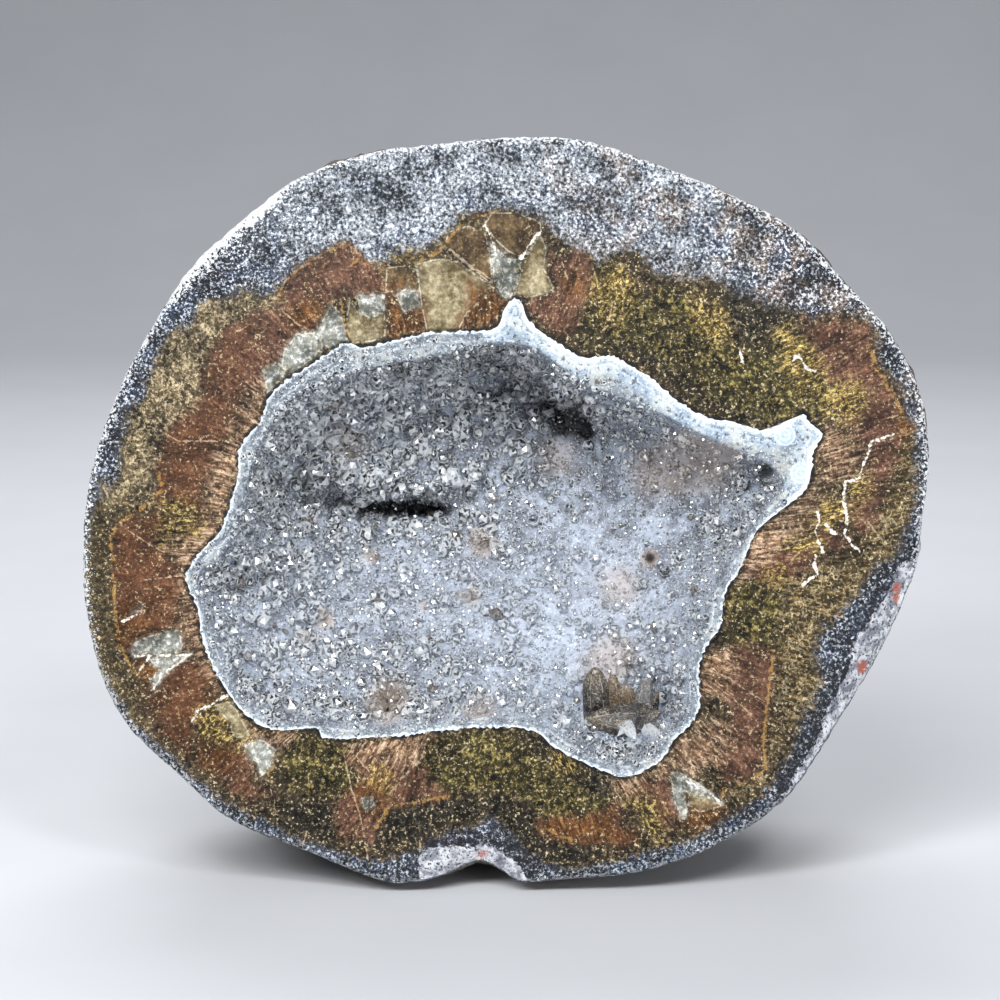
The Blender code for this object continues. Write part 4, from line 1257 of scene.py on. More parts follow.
def smokyCrystal(name, chance):
    foot, tip, footDepth, tipDepth, halfWidth, halfThickness, point, blunt, tone = smoky[name]
    ends = stoodUp(np.column_stack([onFace([foot, tip]), np.array([footDepth, tipDepth]) * mm]))
    base, peak = Vector(ends[0]), Vector(ends[1])
    along = (peak - base).normalized()
    facing = Vector(stoodUp([(0, 0, 0)])[0] - stoodUp([(0, 0, 1)])[0])
    side = along.cross(facing).normalized()
    deep = along.cross(side)
    length = (peak - base).length
    corners = []
    for k in range(6):
        reach = chance.uniform(0.9, 1.06)
        angle = math.radians(60 * k + chance.uniform(-5, 5))
        corners.append((reach * math.cos(angle), reach * math.sin(angle)))
    section = []
    for k, (x, y) in enumerate(corners):
        before, after = corners[k - 1], corners[(k + 1) % 6]
        t, rounding = smokyDetail["edgeShare"], smokyDetail["edgeRounding"]
        section.append((x + (before[0] - x) * t, y + (before[1] - y) * t))
        section.append((x * rounding, y * rounding))
        section.append((x + (after[0] - x) * t, y + (after[1] - y) * t))
    sides = len(section)
    lean = (chance.uniform(-0.3, 0.3), chance.uniform(-0.3, 0.3))
    lines = smokyDetail["growthLines"]
    levels = []
    for k in range(lines + 1):
        height = (1 - point) * k / lines
        step = 1 - smokyDetail["growthDepth"] * (k % 2) - smokyDetail["taper"] * k / lines
        levels.append((height, step, 0))
    for below, width, gained, drift in smokyDetail["pointRings"]:
        levels.append((1 - point * below, width + gained * blunt, drift))
    points = []
    for height, scale, drift in levels:
        for x, y in section:
            across = side * (halfWidth * mm * (x * scale + lean[0] * drift * (1 - blunt)))
            across += deep * (halfThickness * mm * (y * scale + lean[1] * drift * (1 - blunt)))
            points.append(base + along * length * height + across)
    across = side * (halfWidth * mm * lean[0] * (1 - blunt))
    across += deep * (halfThickness * mm * lean[1] * (1 - blunt))
    points += [base, base + along * length + across]
    faces = [fanFaces(0, len(points) - 2, sides)[:, ::-1]]
    faces += [ringFaces(k * sides, (k + 1) * sides, sides) for k in range(len(levels) - 1)]
    faces.append(fanFaces((len(levels) - 1) * sides, len(points) - 1, sides))
    made = makePiece("smoky" + name, np.array(points), np.concatenate(faces))
    # marks the points along each crystal's edges, where a highlight is painted
    edges = [float(k % 3 == 1) for _ in levels for k in range(sides)]
    store(made, "edge", [*edges, 0.0, 1.0])
    store(made, "tone", [tone] * len(points))
    heights = [height for height, _, _ in levels for _ in section]
    store(made, "along", [*heights, 0.0, 1.0])
    return made


def joinedBy(whole, operation, other):
    modifier = whole.modifiers.new(operation.lower(), "BOOLEAN")
    modifier.operation = operation
    modifier.object = other


def carriedOver(made, shapes):  # the union drops what was stored, so each point takes its nearest's
    points = np.concatenate([vertexArray(shape.data) for shape in shapes])
    tree = kdtree.KDTree(len(points))
    for number, point in enumerate(points):
        tree.insert(point, number)
    tree.balance()
    nearest = [tree.find(point)[1] for point in vertexArray(made.data)]
    for name in ("edge", "tone", "along"):
        values = []
        for shape in shapes:
            held = np.empty(len(shape.data.vertices), np.float32)
            shape.data.attributes[name].data.foreach_get("value", held)
            values.append(held)
        if name in made.data.attributes:
            made.data.attributes.remove(made.data.attributes[name])
        store(made, name, np.concatenate(values)[nearest])


def makeSmoky():  # the crystals grown together
    chance = random.Random(smokyDetail["seed"])
    shapes = [smokyCrystal(name, chance) for name in smoky]
    whole = shapes[0]
    for other in shapes[1:]:
        joinedBy(whole, "UNION", other)
    graph = bpy.context.evaluated_depsgraph_get()
    mesh = bpy.data.meshes.new_from_object(whole.evaluated_get(graph))
    whole.modifiers.clear()
    made = bpy.data.objects.new("smokyGroup", mesh)
    bpy.context.scene.collection.objects.link(made)
    carriedOver(made, shapes)
    for shape in shapes:
        bpy.data.objects.remove(shape)
    return made


# Materials
def tint(red, green, blue):  # a screen colour from 0 to 255, made linear
    channels = [c / 255 for c in (red, green, blue)]
    return (*[c / 12.92 if c <= 0.04045 else ((c + 0.055) / 1.055) ** 2.4 for c in channels], 1)


def newMaterial(name, **values):
    material = bpy.data.materials.new(name)
    material.use_nodes = True
    bench["tree"] = material.node_tree
    shader = material.node_tree.nodes["Principled BSDF"]
    for key, value in values.items():
        shader.inputs[key.replace("_", " ")].default_value = value
    return material, shader


def millimetres():
    here = linked("ShaderNodeTexCoord").outputs["Object"]
    return linked("ShaderNodeVectorMath", {0: here, "Scale": 1 / mm}, operation="SCALE").outputs[0]


def held(name, output="Fac"):  # what is stored on the piece
    return linked("ShaderNodeAttribute", attribute_name=name).outputs[output]


def times(first, *others):
    for value in others:
        first = calc("MULTIPLY", first, value)
    return first


def shifted(value, wander, reach):  # the value, moved by noise that lies round a half
    return calc("MULTIPLY_ADD", calc("SUBTRACT", wander, 0.5), reach, value)


def grainy(place, size, detail=3.0, rough=0.6, offset=(0, 0, 0), stretch=(1, 1, 1)):
    moved = linked("ShaderNodeMapping", {"Vector": place, "Location": offset, "Scale": stretch})
    return linked("ShaderNodeTexNoise", {
        "Vector": moved.outputs[0], "Scale": 1 / size, "Detail": detail, "Roughness": rough,
    }).outputs[0]


def spread(value, low, high, start=0.0, end=1.0):  # a soft step from start at low to end at high
    return linked("ShaderNodeMapRange", {
        "Value": value, "From Min": low, "From Max": high, "To Min": start, "To Max": end,
    }, interpolation_type="SMOOTHSTEP").outputs[0]


def over(factor, below, above):
    below, above = (tint(*c) if isinstance(c, tuple) else c for c in (below, above))
    return linked("ShaderNodeMix", {0: factor, 6: below, 7: above}, data_type="RGBA").outputs[2]


def layered(colour, *layers):  # each layer is where it shows, and its colour
    for shown, tone in layers:
        colour = over(shown, colour, tone)
    return colour


def noises(place, grain):
    return {name: grainy(place, *values) for name, values in grain.items()}


def painted(colour, fields, layers):
    for name, low, high, strength, tone in layers:
        colour = over(spread(fields[name], low, high, 0, strength), colour, tone)
    return colour


def finished(material, shader, colour, rough, *bumps):  # bumps: height and distance
    joined(colour, shader.inputs["Base Color"])
    joined(rough, shader.inputs["Roughness"])
    normal = None
    for height, distance in bumps:
        bump = linked("ShaderNodeBump", {"Height": height, "Distance": distance})
        if normal:
            joined(normal, bump.inputs["Normal"])
        normal = bump.outputs[0]
    if normal:
        joined(normal, shader.inputs["Normal"])
    return material


def raggedZoneGroup():  # a soft mask whose edge wanders: 1 well inside a zone, 0 outside it
    names = ("Distance", "Wander", "Fine", "Wander Reach", "Fine Reach", "Softness")
    group, given, result = newGroup("raggedZone", dict.fromkeys(names, "Float"), "Mask", "Float")
    total = given["Distance"]
    for noiseName in ("Wander", "Fine"):
        moved = times(calc("SUBTRACT", given[noiseName], 0.5), given[noiseName + " Reach"])
        total = calc("MULTIPLY_ADD", moved, 4.0, total)  # the noise seldom leaves 0.25 to 0.75
    joined(spread(total, times(given["Softness"], -1.0), given["Softness"]), result)
    return group


def stonePatchGroup():  # one kind of stone: dark and main colours mottled, light streaks over them
    group, given, result = newGroup("stonePatch", {
        "Dark": "Color", "Main": "Color", "Light": "Color",
        "Mottle": "Float", "Streak": "Float", "Streaks": "Float",
    }, "Colour", "Color")
    mottled = over(spread(given["Mottle"], 0.36, 0.58), given["Dark"], given["Main"])
    streaked = times(spread(given["Streak"], 0.5, 0.68), given["Streaks"])
    joined(over(streaked, mottled, given["Light"]), result)
    return group


raggedZone, stonePatch = raggedZoneGroup(), stonePatchGroup()

# Dark, main and light colours, how strong the light streaks are, how far the zone's edge wanders,
# frays and softens in millimetres, and how much of it is broken into streaks. Later ones lie over
# earlier ones.
agate = {
    "band": ((24, 19, 13), (66, 55, 40), (130, 113, 86), 0.6, 0.7, 0.8, 0.7, 0),
    "tan": ((44, 36, 24), (100, 87, 64), (178, 162, 130), 0.8, 0.8, 0.9, 1.6, 0.2),
    "olive": ((22, 20, 12), (64, 58, 32), (146, 132, 74), 0.75, 0.8, 0.8, 1.8, 0),
    "smoke": ((12, 12, 10), (40, 37, 31), (96, 88, 72), 0.5, 0.9, 0.8, 1.8, 0),
    "khaki": ((32, 25, 13), (80, 66, 40), (150, 128, 86), 0.8, 0.9, 0.8, 1.6, 0.1),
    "mahogany": ((58, 35, 26), (98, 68, 53), (146, 112, 92), 0.45, 0.6, 0.9, 1.0, 0),
    "fringe": ((80, 54, 38), (147, 114, 88), (214, 190, 162), 0.65, 0.8, 1.2, 1.6, 0.3),
    "gold": ((52, 38, 12), (116, 90, 38), (206, 184, 112), 1.0, 0.8, 1.0, 1.6, 0.75),
    "umber": ((70, 50, 30), (98, 80, 54), (128, 110, 78), 0.4, 0.15, 0.2, 0.8, 0),
    "cream": ((118, 102, 66), (148, 137, 108), (182, 176, 152), 0.4, 0.1, 0.15, 0.5, 0),
    "amber": ((58, 33, 13), (99, 61, 29), (160, 122, 76), 0.55, 0.3, 0.5, 1.4, 0.1),
    "quartz": ((108, 112, 104), (146, 148, 140), (208, 212, 212), 0.8, 0.1, 0.35, 0.7, 0),
}
fibrous = ("khaki", "mahogany", "fringe", "amber")
cutLook = {
    # noise: size in millimetres, detail, roughness, place
    "grain": {
        "wander": (4.2, 3), "fine": (0.9, 3, 0.65), "mottle": (1.7, 4, 0.68, (31, 7, 5)),
        "dust": (0.42, 2, 0.7), "grit": (0.42, 2, 0.7, (5, 61, 13)),
        "blotch": (0.75, 3, 0.7, (11, 2, 17)), "curl": (2.6, 3, 0.6, (8, 3, 77)),
        "patches": (5.5, 4, 0.6, (2, 40, 3)), "bluish": (4.0, 3, 0.6, (60, 1, 9)),
    },
    # the same for what runs out from the rim, and its stretch
    "fibres": {
        "fibre": (0.36, 2, 0.6, (0, 0, 0), (1, 1, 0.17)),
        "spark": (0.42, 2, 0.7, (2, 2, 9), (1, 1, 0.6)),
        "streak": (1.0, 4, 0.7, (3, 9, 40), (1, 1, 0.2)),
    },
    "bend": 1.5,
    "matrixDark": (22, 27, 36), "matrixMain": (58, 64, 76), "matrixLight": (134, 140, 148),
    "matrixWarm": (134, 118, 106), "matrixBlue": (70, 84, 106), "speck": (214, 219, 226),
    "pit": (8, 10, 14), "leftBrown": (86, 52, 28), "leftmost": (50, 43, 30), "wisp": (186, 170, 136),
    "paneBorder": (206, 200, 182), "darkFibre": (24, 14, 10), "lightGrain": (214, 196, 156),
    "darkGrain": (16, 12, 9), "gold": (176, 136, 72), "hair": (212, 186, 152), "vein": (238, 230, 216),
    "shellBorder": (28, 28, 34), "shellDark": (120, 124, 134), "shellPale": (206, 208, 214),
    # the dark rim line is painted shade round the hollow's rim, and the pale edge colour after it a
    # painted highlight on the outer edge
    "shellPit": (40, 40, 46), "rust": (168, 84, 58), "rimLine": (18, 18, 20),
    "paintedEdgeHighlight": (228, 231, 234),
    "bumps": (0.22 * mm, 0.08 * mm),
}


def matrixColour(fields, across, up):  # mottled grey with pale and dark specks, warmer at the right
    look = cutLook
    high = spread(up, 70, 92, 0.05, 1)
    middle = spread(calc("ABSOLUTE", across), 42, 24)
    warm = times(spread(across, -12, 30), spread(up, 60, 76), spread(fields["patches"], 0.46, 0.6), 0.7)
    return layered(
        over(spread(fields["mottle"], 0.40, 0.60), look["matrixDark"], look["matrixMain"]),
        (times(spread(fields["wander"], 0.30, 0.52), high, middle), look["matrixLight"]),
        (warm, look["matrixWarm"]),
        (spread(fields["bluish"], 0.5, 0.62, 0, 0.6), look["matrixBlue"]),
        (times(spread(fields["dust"], 0.53, 0.62), spread(up, 40, 92, 0.6, 0.85)), look["speck"]),
        (spread(fields["dust"], 0.48, 0.39, 0, 0.9), look["pit"]),
    )


def makeCutAgate():
    look = cutLook
    material, shader = newMaterial("cutAgate", Specular_IOR_Level=0.22)
    place = millimetres()
    fields = noises(place, look["grain"])
    bend = times(calc("SUBTRACT", fields["mottle"], 0.5), look["bend"])
    bends = linked("ShaderNodeVectorMath", {0: (0.7, 0.7, 0.4), "Scale": bend}, operation="SCALE")
    bent = linked("ShaderNodeVectorMath", {
        0: held("grainSpace", "Vector"), 1: bends.outputs[0],
    }, operation="ADD")
    fields.update(noises(bent.outputs[0], look["fibres"]))
    across, _, up = linked("ShaderNodeSeparateXYZ", {"Vector": place}).outputs
    colour = matrixColour(fields, across, up)

    masks = {}
    lines = {**dict.fromkeys(fibrous, fields["fibre"]), "gold": fields["spark"]}
    for name, (dark, main, light, streaks, far, near, soft, broken) in agate.items():
        masks[name] = linked("ShaderNodeGroup", {
            "Distance": held(name), "Wander": fields["wander"], "Fine": lines.get(name, fields["fine"]),
            "Wander Reach": far, "Fine Reach": near, "Softness": soft,
        }, node_tree=raggedZone).outputs[0]
        cloud = "streak" if name in fibrous else "wander" if name in windows else "mottle"
        patch = linked("ShaderNodeGroup", {
            "Dark": tint(*dark), "Main": tint(*main), "Light": tint(*light),
            "Mottle": fields[cloud], "Streak": lines.get(name, fields["blotch"]), "Streaks": streaks,
        }, node_tree=stonePatch).outputs[0]
        shown = masks[name]
        if broken:
            shown = times(shown, spread(lines.get(name, fields["fibre"]), 0.42, 0.56, 1 - broken, 1))
        colour = over(shown, colour, patch)

    # curled wisps in the tan stone and round it, and thin pale borders round the clear panes
    curled = spread(calc("ABSOLUTE", calc("SUBTRACT", fields["curl"], 0.5)), 0.03, 0.0, 0, 0.55)
    wispy = times(curled, calc("MAXIMUM", masks["tan"], masks["khaki"]))
    colour = over(wispy, colour, look["wisp"])
    clear = calc("MAXIMUM", masks["quartz"], masks["cream"])
    for name in ("umber", "cream", "quartz"):
        border = spread(calc("ABSOLUTE", held(name)), 0.16, 0.05, 0, 0.5)
        colour = over(times(border, spread(fields["blotch"], 0.42, 0.52)), colour, look["paneBorder"])

    # browner to the left, dark fibres out from the rim, and light and dark grains over everything
    inBand, fromRim = masks["band"], held("fromRim")
    colour = layered(
        colour,
        (times(spread(across, -30, -46, 0, 0.7), masks["mahogany"]), look["leftBrown"]),
        (times(spread(across, -46, -50, 0, 0.7), masks["khaki"]), look["leftmost"]),
        (times(
            spread(fields["fibre"], 0.44, 0.36), spread(fromRim, 9, 3, 0.25, 0.45), inBand,
            calc("MULTIPLY_ADD", clear, -0.85, 1.0),
        ), look["darkFibre"]),
    )
    shading = spread(fields["wander"], 0.34, 0.66, 0.5, 1.15)
    shading = times(shading, spread(fields["blotch"], 0.34, 0.66, 0.7, 1.35))
    colour = linked("ShaderNodeVectorMath", {0: colour, "Scale": shading}, operation="SCALE").outputs[0]
    plain = calc("MAXIMUM", times(masks["mahogany"], 0.4), calc("MAXIMUM", clear, masks["umber"]))
    grainyHere = times(inBand, calc("MULTIPLY_ADD", plain, -0.6, 1.0))
    sprinkled = times(grainyHere, spread(fields["mottle"], 0.42, 0.62, 0.35, 1))

    # the drawn lines, then the white shell of the broken edge with rust on a dark speckled border
    gappy = spread(fields["blotch"], 0.38, 0.52)
    gold = spread(shifted(held("goldBorder"), fields["fine"], 1.4), 0.16, -0.1, 0, 0.55)
    hair = spread(shifted(held("hair"), fields["fine"], 0.3), 0.08, -0.04, 0, 0.5)
    vein = spread(shifted(held("vein"), fields["fine"], 1.2), 0.12, -0.06)
    shell = shifted(held("shell"), fields["fine"], 2.4)
    shellMask = spread(shell, -0.15, 0.25)
    shellColour = over(spread(fields["mottle"], 0.4, 0.6), look["shellDark"], look["shellPale"])
    shellColour = over(spread(fields["dust"], 0.46, 0.36), shellColour, look["shellPit"])

    # a dark notched line round the rim, painted shade, and a painted highlight along the outer edge,
    # wider at the upper left and brighter towards the top
    rimLine = times(spread(fromRim, 0.75, 0.3, 0, 0.9), spread(fields["fine"], 0.42, 0.52))
    upperLeft = times(spread(up, 80, 87), spread(across, -29, -34))
    ragged = calc("MULTIPLY_ADD", upperLeft, -1.1, held("fromEdge"))
    ragged = shifted(shifted(ragged, fields["grit"], 6.0), fields["blotch"], 3.0)
    colour = layered(
        colour,
        (times(spread(fields["grit"], 0.58, 0.66, 0, 0.85), sprinkled), look["lightGrain"]),
        (times(spread(fields["grit"], 0.45, 0.36, 0, 0.75), grainyHere), look["darkGrain"]),
        (times(gold, gappy), look["gold"]),
        (times(hair, gappy), look["hair"]),
        (times(vein, spread(fields["grit"], 0.38, 0.5, 0.35, 1)), look["vein"]),
        (times(spread(shell, -2.6, -0.6, 0, 0.85), spread(fields["blotch"], 0.6, 0.46)),
         look["shellBorder"]),
        (shellMask, shellColour),
        (spread(shifted(held("rust"), fields["fine"], 2.0), -0.2, 0.5, 0, 0.8), look["rust"]),
        (rimLine, look["rimLine"]),
        (times(spread(ragged, 0.38, 0.08, 0, 0.75), spread(up, 10, 50, 0.25, 1)), look["paintedEdgeHighlight"]),
    )
    polished = times(inBand, calc("SUBTRACT", 1.0, shellMask))
    rough = shifted(spread(polished, 0, 1, 0.62, 0.36), fields["mottle"], 0.35)
    relief = times(fields["dust"], spread(polished, 0, 1, 1, 0.3))
    heights = zip((relief, fields["blotch"]), look["bumps"])
    return finished(material, shader, colour, rough, *heights)


# In the looks below, a layer is the field that it follows, from where to where it comes in, how
# strong it gets, and its colour. Noise is given as above.
rindLook = {
    "grain": {
        "broad": (14, 4), "mottle": (3.2, 5, 0.68, (4, 8, 15)), "fine": (0.7, 4, 0.7, (16, 23, 42)),
        "dust": (0.24, 3, 0.7), "rusty": (8, 4, 0.6, (70, 5, 2)),
    },
    "ground": ((84, 74, 64), (126, 114, 102)),
    "layers": [
        ("mottle", 0.5, 0.66, 0.8, (160, 152, 144)), ("rusty", 0.52, 0.64, 0.6, (132, 82, 50)),
        ("fine", 0.46, 0.34, 0.75, (44, 38, 34)), ("dust", 0.56, 0.7, 0.55, (196, 190, 182)),
    ],
    "rough": (0.3, 0.7, 0.74, 0.92),
    "bumps": (1.1 * mm, 0.3 * mm),
}


def makeNaturalRind():
    material, shader = newMaterial("naturalRind")
    fields = noises(millimetres(), rindLook["grain"])
    colour = over(spread(fields["broad"], 0.38, 0.6), *rindLook["ground"])
    colour = painted(colour, fields, rindLook["layers"])
    heights = zip((fields["fine"], fields["dust"]), rindLook["bumps"])
    return finished(material, shader, colour, spread(fields["mottle"], *rindLook["rough"]), *heights)


chalcedonyLook = {
    "grain": {"fine": (0.7, 4, 0.65), "dust": (0.36, 2, 0.7), "broad": (3.4, 4)},
    "floor": ((96, 102, 114), (162, 172, 188)),  # between the crystals
    # the first layer is painted light on the pale floor, the last painted shade in the slot, the crevice
    # and holes
    "floorLayers": [
        ("paintedLightAndShade", 0.0, -0.4, 0.55, (190, 200, 216)), ("dust", 0.56, 0.66, 0.6, (232, 240, 250)),
        ("fine", 0.45, 0.34, 0.6, (54, 56, 64)), ("stain", 0.05, 0.35, 0.45, (190, 170, 156)),
        ("stain", 0.35, 0.8, 0.7, (112, 94, 80)), ("paintedLightAndShade", 0.05, 0.95, 0.97, (16, 16, 18)),
    ],
    "band": ((102, 112, 122), (150, 160, 168)),  # where the saw cut it
    "bandWarm": (162, 158, 144),
    "shelf": ((148, 168, 188), (192, 199, 200)),
    "bandLayers": [
        ("thread", 0.24, 0.02, 0.35, (226, 234, 244)), ("dust", 0.55, 0.64, 0.6, (226, 236, 246)),
        ("fine", 0.47, 0.36, 0.8, (44, 50, 58)),
    ],
    "threadAt": 1.3,  # millimetres from the rim
    "eyeRings": ((178, 197, 212), (204, 219, 230)),
    "rimLine": (222, 232, 242),
    "rough": (0.3, 0.7, 0.18, 0.42),
    "bumps": (0.25 * mm, 0.12 * mm),
}


def makeChalcedony():
    look = chalcedonyLook
    material, shader = newMaterial("chalcedonyCrust", IOR=1.54)
    fields = noises(millimetres(), look["grain"])
    for name in ("fromRim", "fromLip", "smooth", "paintedLightAndShade", "stain", "eye"):
        fields[name] = held(name)
    floor = over(spread(fields["broad"], 0.38, 0.62), *look["floor"])
    floor = painted(floor, fields, look["floorLayers"])

    # the cut band: flecked, with a faint agate line inside and a broken white one round it
    wavy = shifted(shifted(fields["fromRim"], fields["broad"], 1.6), fields["fine"], 0.8)
    fields["thread"] = calc("ABSOLUTE", calc("SUBTRACT", wavy, look["threadAt"]))
    band = over(spread(fields["broad"], 0.42, 0.58), *look["band"])
    shelf = over(spread(fields["broad"], 0.42, 0.6), *look["shelf"])
    band = over(spread(fields["broad"], 0.5, 0.66, 0, 0.6), band, look["bandWarm"])
    band = over(times(fields["smooth"], 0.8), band, shelf)
    band = painted(band, fields, look["bandLayers"])
    rings = calc("SINE", calc("MULTIPLY_ADD", fields["fine"], 3.0, times(fields["eye"], 9.0)))
    eyeColour = over(spread(rings, -0.7, 0.7), *look["eyeRings"])
    edging = calc("MULTIPLY_ADD", fields["smooth"], -0.3, shifted(fields["fromRim"], fields["fine"], 2.4))
    colour = layered(
        floor,
        (calc("MAXIMUM", fields["smooth"], spread(fields["fromLip"], 0.25, -0.1)),
         over(spread(fields["eye"], 1.7, 1.4, 0, 0.85), band, eyeColour)),
        (times(spread(edging, 0.4, 0.15), spread(fields["fine"], 0.36, 0.5, 0.6, 1)), look["rimLine"]),
    )
    heights = zip((fields["fine"], fields["dust"]), look["bumps"])
    return finished(material, shader, colour, spread(fields["fine"], *look["rough"]), *heights)


clearLook = {
    "grain": {"flecks": (0.4, 2), "milky": (3.0, 3, 0.6, (14, 2, 8))},
    # painted shade at the crystals' feet, paler where painted light falls
    "root": ((16, 18, 22), (118, 128, 144)),
    # facets painted lit and shaded, from dark to light at random
    "body": ((30, 34, 41), (152, 163, 179)),
    "paintedGlint": (250, 253, 255),  # painted glints on facets, then a painted highlight on the girdle and the tip
    "paintedRingAndTipHighlight": (250, 254, 255),
    "smokyTone": 0.27,
    "layers": [
        # the first shade layer is painted light in pale places, the last painted shade in the slot, the
        # crevice and holes
        ("milky", 0.54, 0.64, 0.3, (216, 230, 246)), ("flecks", 0.46, 0.36, 0.4, (34, 36, 42)),
        ("flecks", 0.56, 0.64, 0.6, (252, 254, 255)), ("paintedLightAndShade", 0.0, -0.3, 0.3, (206, 218, 236)),
        ("stain", 0.05, 0.35, 0.4, (206, 186, 166)), ("stain", 0.35, 0.8, 0.6, (136, 116, 96)),
        ("smokyOnes", 0.014, 0.008, 0.7, (104, 88, 66)), ("paintedLightAndShade", 0.1, 0.95, 0.96, (20, 20, 23)),
    ],
    "rough": (0.35, 0.65, 0.03, 0.16),
}


def makeClearQuartz():
    look = clearLook
    material, shader = newMaterial(
        "clearQuartz", IOR=1.544, Transmission_Weight=0.45, Metallic=0.0,
        Coat_Weight=1.0, Coat_IOR=1.8, Coat_Roughness=0.04)
    fields = noises(millimetres(), look["grain"])
    fields.update({name: held(name) for name in ("tone", "growth", "paintedLightAndShade", "stain", "facet")})
    fields["smokyOnes"] = calc("ABSOLUTE", calc("SUBTRACT", fields["tone"], look["smokyTone"]))
    # each facet painted lit or shaded at random, some with a painted glint
    facet = calc("FRACT", calc("MULTIPLY_ADD", fields["tone"], 5.3, fields["facet"]))
    body = over(spread(facet, 0.2, 0.6), *look["body"])
    body = over(spread(facet, 0.6, 0.66), body, look["paintedGlint"])
    growth = fields["growth"]  # 0 at the root, 1 at the shoulder, 2 at the tip
    # painted shade at the foot, a painted highlight ring near the top of the prism, the facets over it,
    # and a painted highlight on the tip
    colour = layered(
        over(spread(fields["paintedLightAndShade"], 0.0, -0.3), *look["root"]),
        (spread(growth, 0.45, 0.86), look["paintedRingAndTipHighlight"]),
        (spread(growth, 1.05, 1.2), body),
        (spread(growth, 1.8, 1.9), look["paintedRingAndTipHighlight"]),
    )
    colour = painted(colour, fields, look["layers"])
    return finished(material, shader, colour, spread(fields["flecks"], *look["rough"]))


smokyLook = {
    "grain": {"broad": (1.4, 4), "fine": (0.34, 2, 0.7)},
    "ground": ((44, 39, 36), (92, 86, 80)),
    "layers": [
        ("along", 0.55, 0.9, 0.55, (150, 136, 116)), ("tone", 0.4, 0.6, 0.4, (160, 132, 94)),
        ("tone", 0.65, 0.75, 0.5, (150, 160, 172)), ("tone", 0.85, 0.93, 0.85, (226, 232, 236)),
    ],
    "fleck": (222, 218, 208),
    "pit": (20, 18, 17),
    # painted highlight along the crystals' edges
    "edge": (222, 220, 214),
    "rough": (0.3, 0.7, 0.04, 0.18),
    "bump": 0.06 * mm,
    "lampTint": (0.86, 0.89, 0.93, 1),  # what lamps keep of their colour on the way through
}


def makeSmokyQuartz():
    look = smokyLook
    material, shader = newMaterial("smokyQuartz", IOR=1.55, Transmission_Weight=0.45, Metallic=0.0)
    fields = noises(millimetres(), look["grain"])
    fields.update({name: held(name) for name in ("tone", "edge", "along")})
    colour = over(spread(fields["broad"], 0.40, 0.60), *look["ground"])
    colour = layered(
        painted(colour, fields, look["layers"]),
        (times(spread(fields["fine"], 0.55, 0.62), spread(fields["along"], 0.3, 0.7, 0.2, 0.5)),
         look["fleck"]),
        (spread(fields["fine"], 0.47, 0.39, 0, 0.45), look["pit"]),
        # painted highlight along the crystals' edges
        (times(spread(fields["edge"], 0.6, 1.0), spread(fields["broad"], 0.36, 0.5), 0.4), look["edge"]),
    )
    clear = linked("ShaderNodeBsdfTransparent", {"Color": look["lampTint"]})
    mixed = linked("ShaderNodeMixShader", {
        0: linked("ShaderNodeLightPath").outputs["Is Shadow Ray"],
        1: shader.outputs[0], 2: clear.outputs[0],
    })
    joined(mixed.outputs[0], material.node_tree.nodes["Material Output"].inputs["Surface"])
    rough = spread(fields["broad"], *look["rough"])
    return finished(material, shader, colour, rough, (fields["fine"], look["bump"]))


def makePaleFloor():
    material, shader = newMaterial("paleFloor", Roughness=0.8)
    colour = over(grainy(millimetres(), 40, 2), (196, 199, 204), (204, 207, 212))
    joined(colour, shader.inputs["Base Color"])
    return material


noduleSurface.data.materials.append(makeCutAgate())
noduleSurface.data.materials.append(makeNaturalRind())


def finishNodule():  # the cut face is polished, the rest is natural rind
    mesh = noduleSurface.data
    corners = np.empty(len(mesh.loops), np.int32)
    mesh.loops.foreach_get("vertex_index", corners)
    slots = noduleBack[corners.reshape(-1, 3)].all(1).astype(np.int32)
    mesh.polygons.foreach_set("material_index", slots)


finishNodule()
crustSurface.data.materials.append(makeChalcedony())
scatterer, clearQuartz = scatterTree(), makeClearQuartz()
druseBeads = makeDruse("beads", scatterer, clearQuartz)
druseGrains = makeDruse("grains", scatterer, clearQuartz)
for grown in (druseBeads, druseGrains):
    print(grown.name, "grown:", sum(len(face.vertices) - 2 for face in grown.data.polygons), "triangles")
smokyGroup = makeSmoky()
smokyGroup.data.materials.clear()
smokyGroup.data.materials.append(makeSmokyQuartz())
print("smoky crystals made:", len(smokyGroup.data.polygons), "faces")


# Stage, lights and camera
studio = {
    "cameraAway": 0.45,
    "sensor": 36.0,
    "imageSize": 1000,
    "sweepReach": 1.6,
    "sweepDepth": 0.9,
    "sweepBend": 0.35,
    "sweepHeight": 1.2,
    # name: place, aim, size, watts, colour
    "lights": {
        "key": ((-0.14, -0.50, 0.50), (0, 0, 0.05), (0.34, 0.24), 3.1, (1.0, 0.99, 0.98)),
        "fill": ((0.46, -0.50, 0.06), (0, 0, 0.05), (0.40, 0.40), 2.4, (0.95, 0.97, 1.0)),
        "back": ((-0.05, 0.35, 0.50), (0, 0, 0.08), (0.50, 0.20), 2.4, (1.0, 1.0, 1.0)),
        "glintLeft": ((-0.30, -0.42, 0.34), (0, 0, 0.05), (0.13, 0.13), 1.4, (1.0, 1.0, 1.0)),
        "glintRight": ((0.20, -0.50, 0.52), (0, 0, 0.05), (0.13, 0.13), 1.3, (1.0, 1.0, 1.0)),
    },
    "world": (0.78, 0.80, 0.84, 1),
    "worldStrength": 0.24,
}


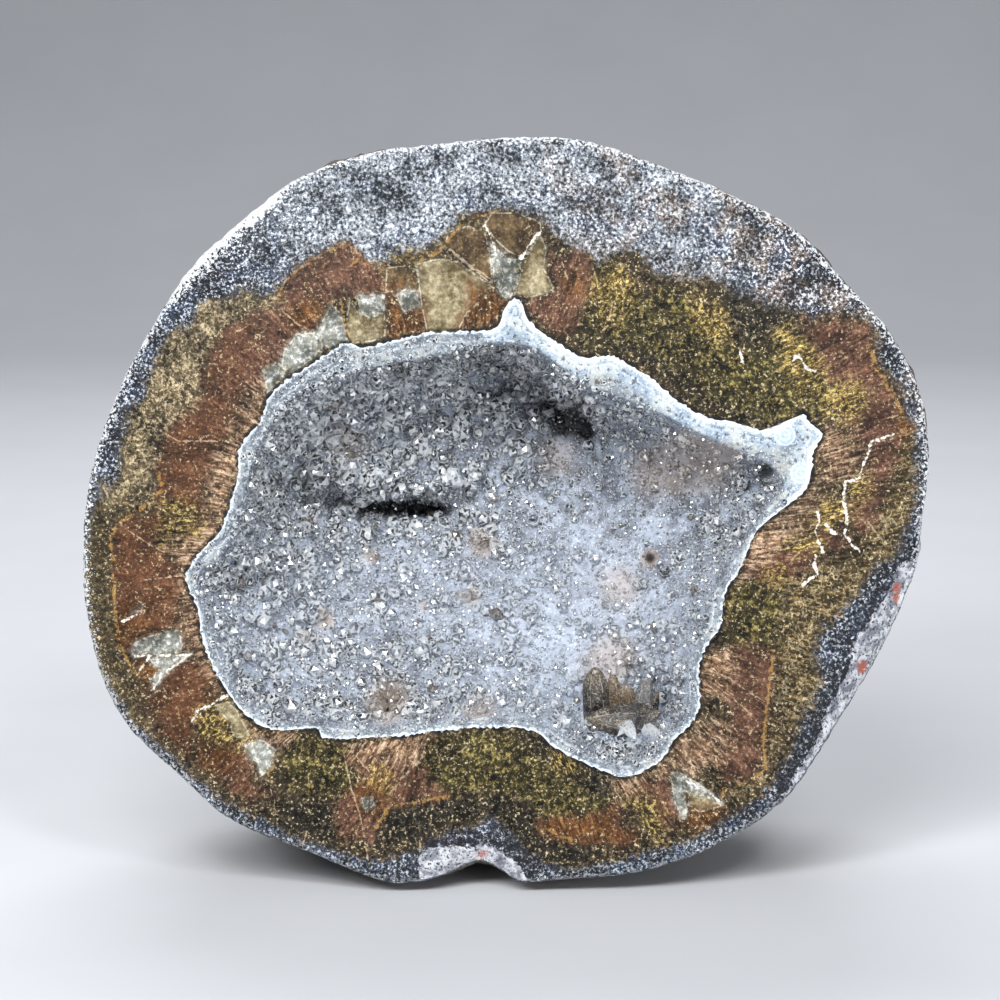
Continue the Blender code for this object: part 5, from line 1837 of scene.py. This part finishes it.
def makeSweep():
    reach, depth, bend, height = (studio["sweep" + k] for k in ("Reach", "Depth", "Bend", "Height"))
    profile = [(-reach, 0.0)]
    for k in range(17):
        angle = math.pi / 2 * k / 16
        profile.append((depth - bend + bend * math.sin(angle), bend - bend * math.cos(angle)))
    profile.append((depth, height))
    points = [(x, y, z) for y, z in profile for x in (-reach, reach)]
    faces = [(2 * k, 2 * k + 1, 2 * k + 3, 2 * k + 2) for k in range(len(profile) - 1)]
    mesh = bpy.data.meshes.new("sweep")
    mesh.from_pydata(points, [], faces)
    mesh.polygons.foreach_set("use_smooth", [True] * len(faces))
    mesh.materials.append(makePaleFloor())
    made = bpy.data.objects.new("sweep", mesh)
    bpy.context.scene.collection.objects.link(made)
    return made


def addLight(name, place, aim, size, watts, colour):
    lamp = bpy.data.lights.new(name, "AREA")
    lamp.shape = "RECTANGLE"
    lamp.size, lamp.size_y = size
    lamp.energy = watts
    lamp.color = colour
    made = bpy.data.objects.new(name, lamp)
    made.location = place
    made.rotation_euler = (Vector(aim) - Vector(place)).to_track_quat("-Z", "Y").to_euler()
    bpy.context.scene.collection.objects.link(made)


def addCamera():  # square to the cut face, with the photograph's middle in the picture's middle
    half = studio["imageSize"] / 2
    middle = onFace([(half, half)])[0]
    target = Vector(stoodUp([(*middle, 0)])[0])
    inward = Vector((0, math.cos(cut["lean"]), -math.sin(cut["lean"])))
    lens = bpy.data.cameras.new("camera")
    lens.sensor_width = studio["sensor"]
    lens.lens = studio["sensor"] * studio["cameraAway"] / (studio["imageSize"] * pixel)
    lens.clip_start = 0.02
    made = bpy.data.objects.new("camera", lens)
    made.location = target - inward * studio["cameraAway"]
    made.rotation_euler = inward.to_track_quat("-Z", "Y").to_euler()
    bpy.context.scene.collection.objects.link(made)
    bpy.context.scene.camera = made


sweep = makeSweep()
for lightName, values in studio["lights"].items():
    addLight(lightName, *values)
addCamera()
world = bpy.data.worlds.new("softRoom")
world.use_nodes = True
world.node_tree.nodes["Background"].inputs["Color"].default_value = studio["world"]
world.node_tree.nodes["Background"].inputs["Strength"].default_value = studio["worldStrength"]
bpy.context.scene.world = world
bpy.context.scene.view_settings.view_transform = "Standard"

pieces = (
    (noduleSurface, "rock", "rock"),
    (crustSurface, "crystal_crust", "crystal_crust"),
    (druseBeads, "crystal_crust", "crystal_crust"),
    (druseGrains, "crystal_crust", "crystal_crust"),
    (smokyGroup, "smoky_crystals", "smoky_crystals"),
)
for piece, node, slot in pieces:
    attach(piece, "root")
    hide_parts(node)
print("scene finished")
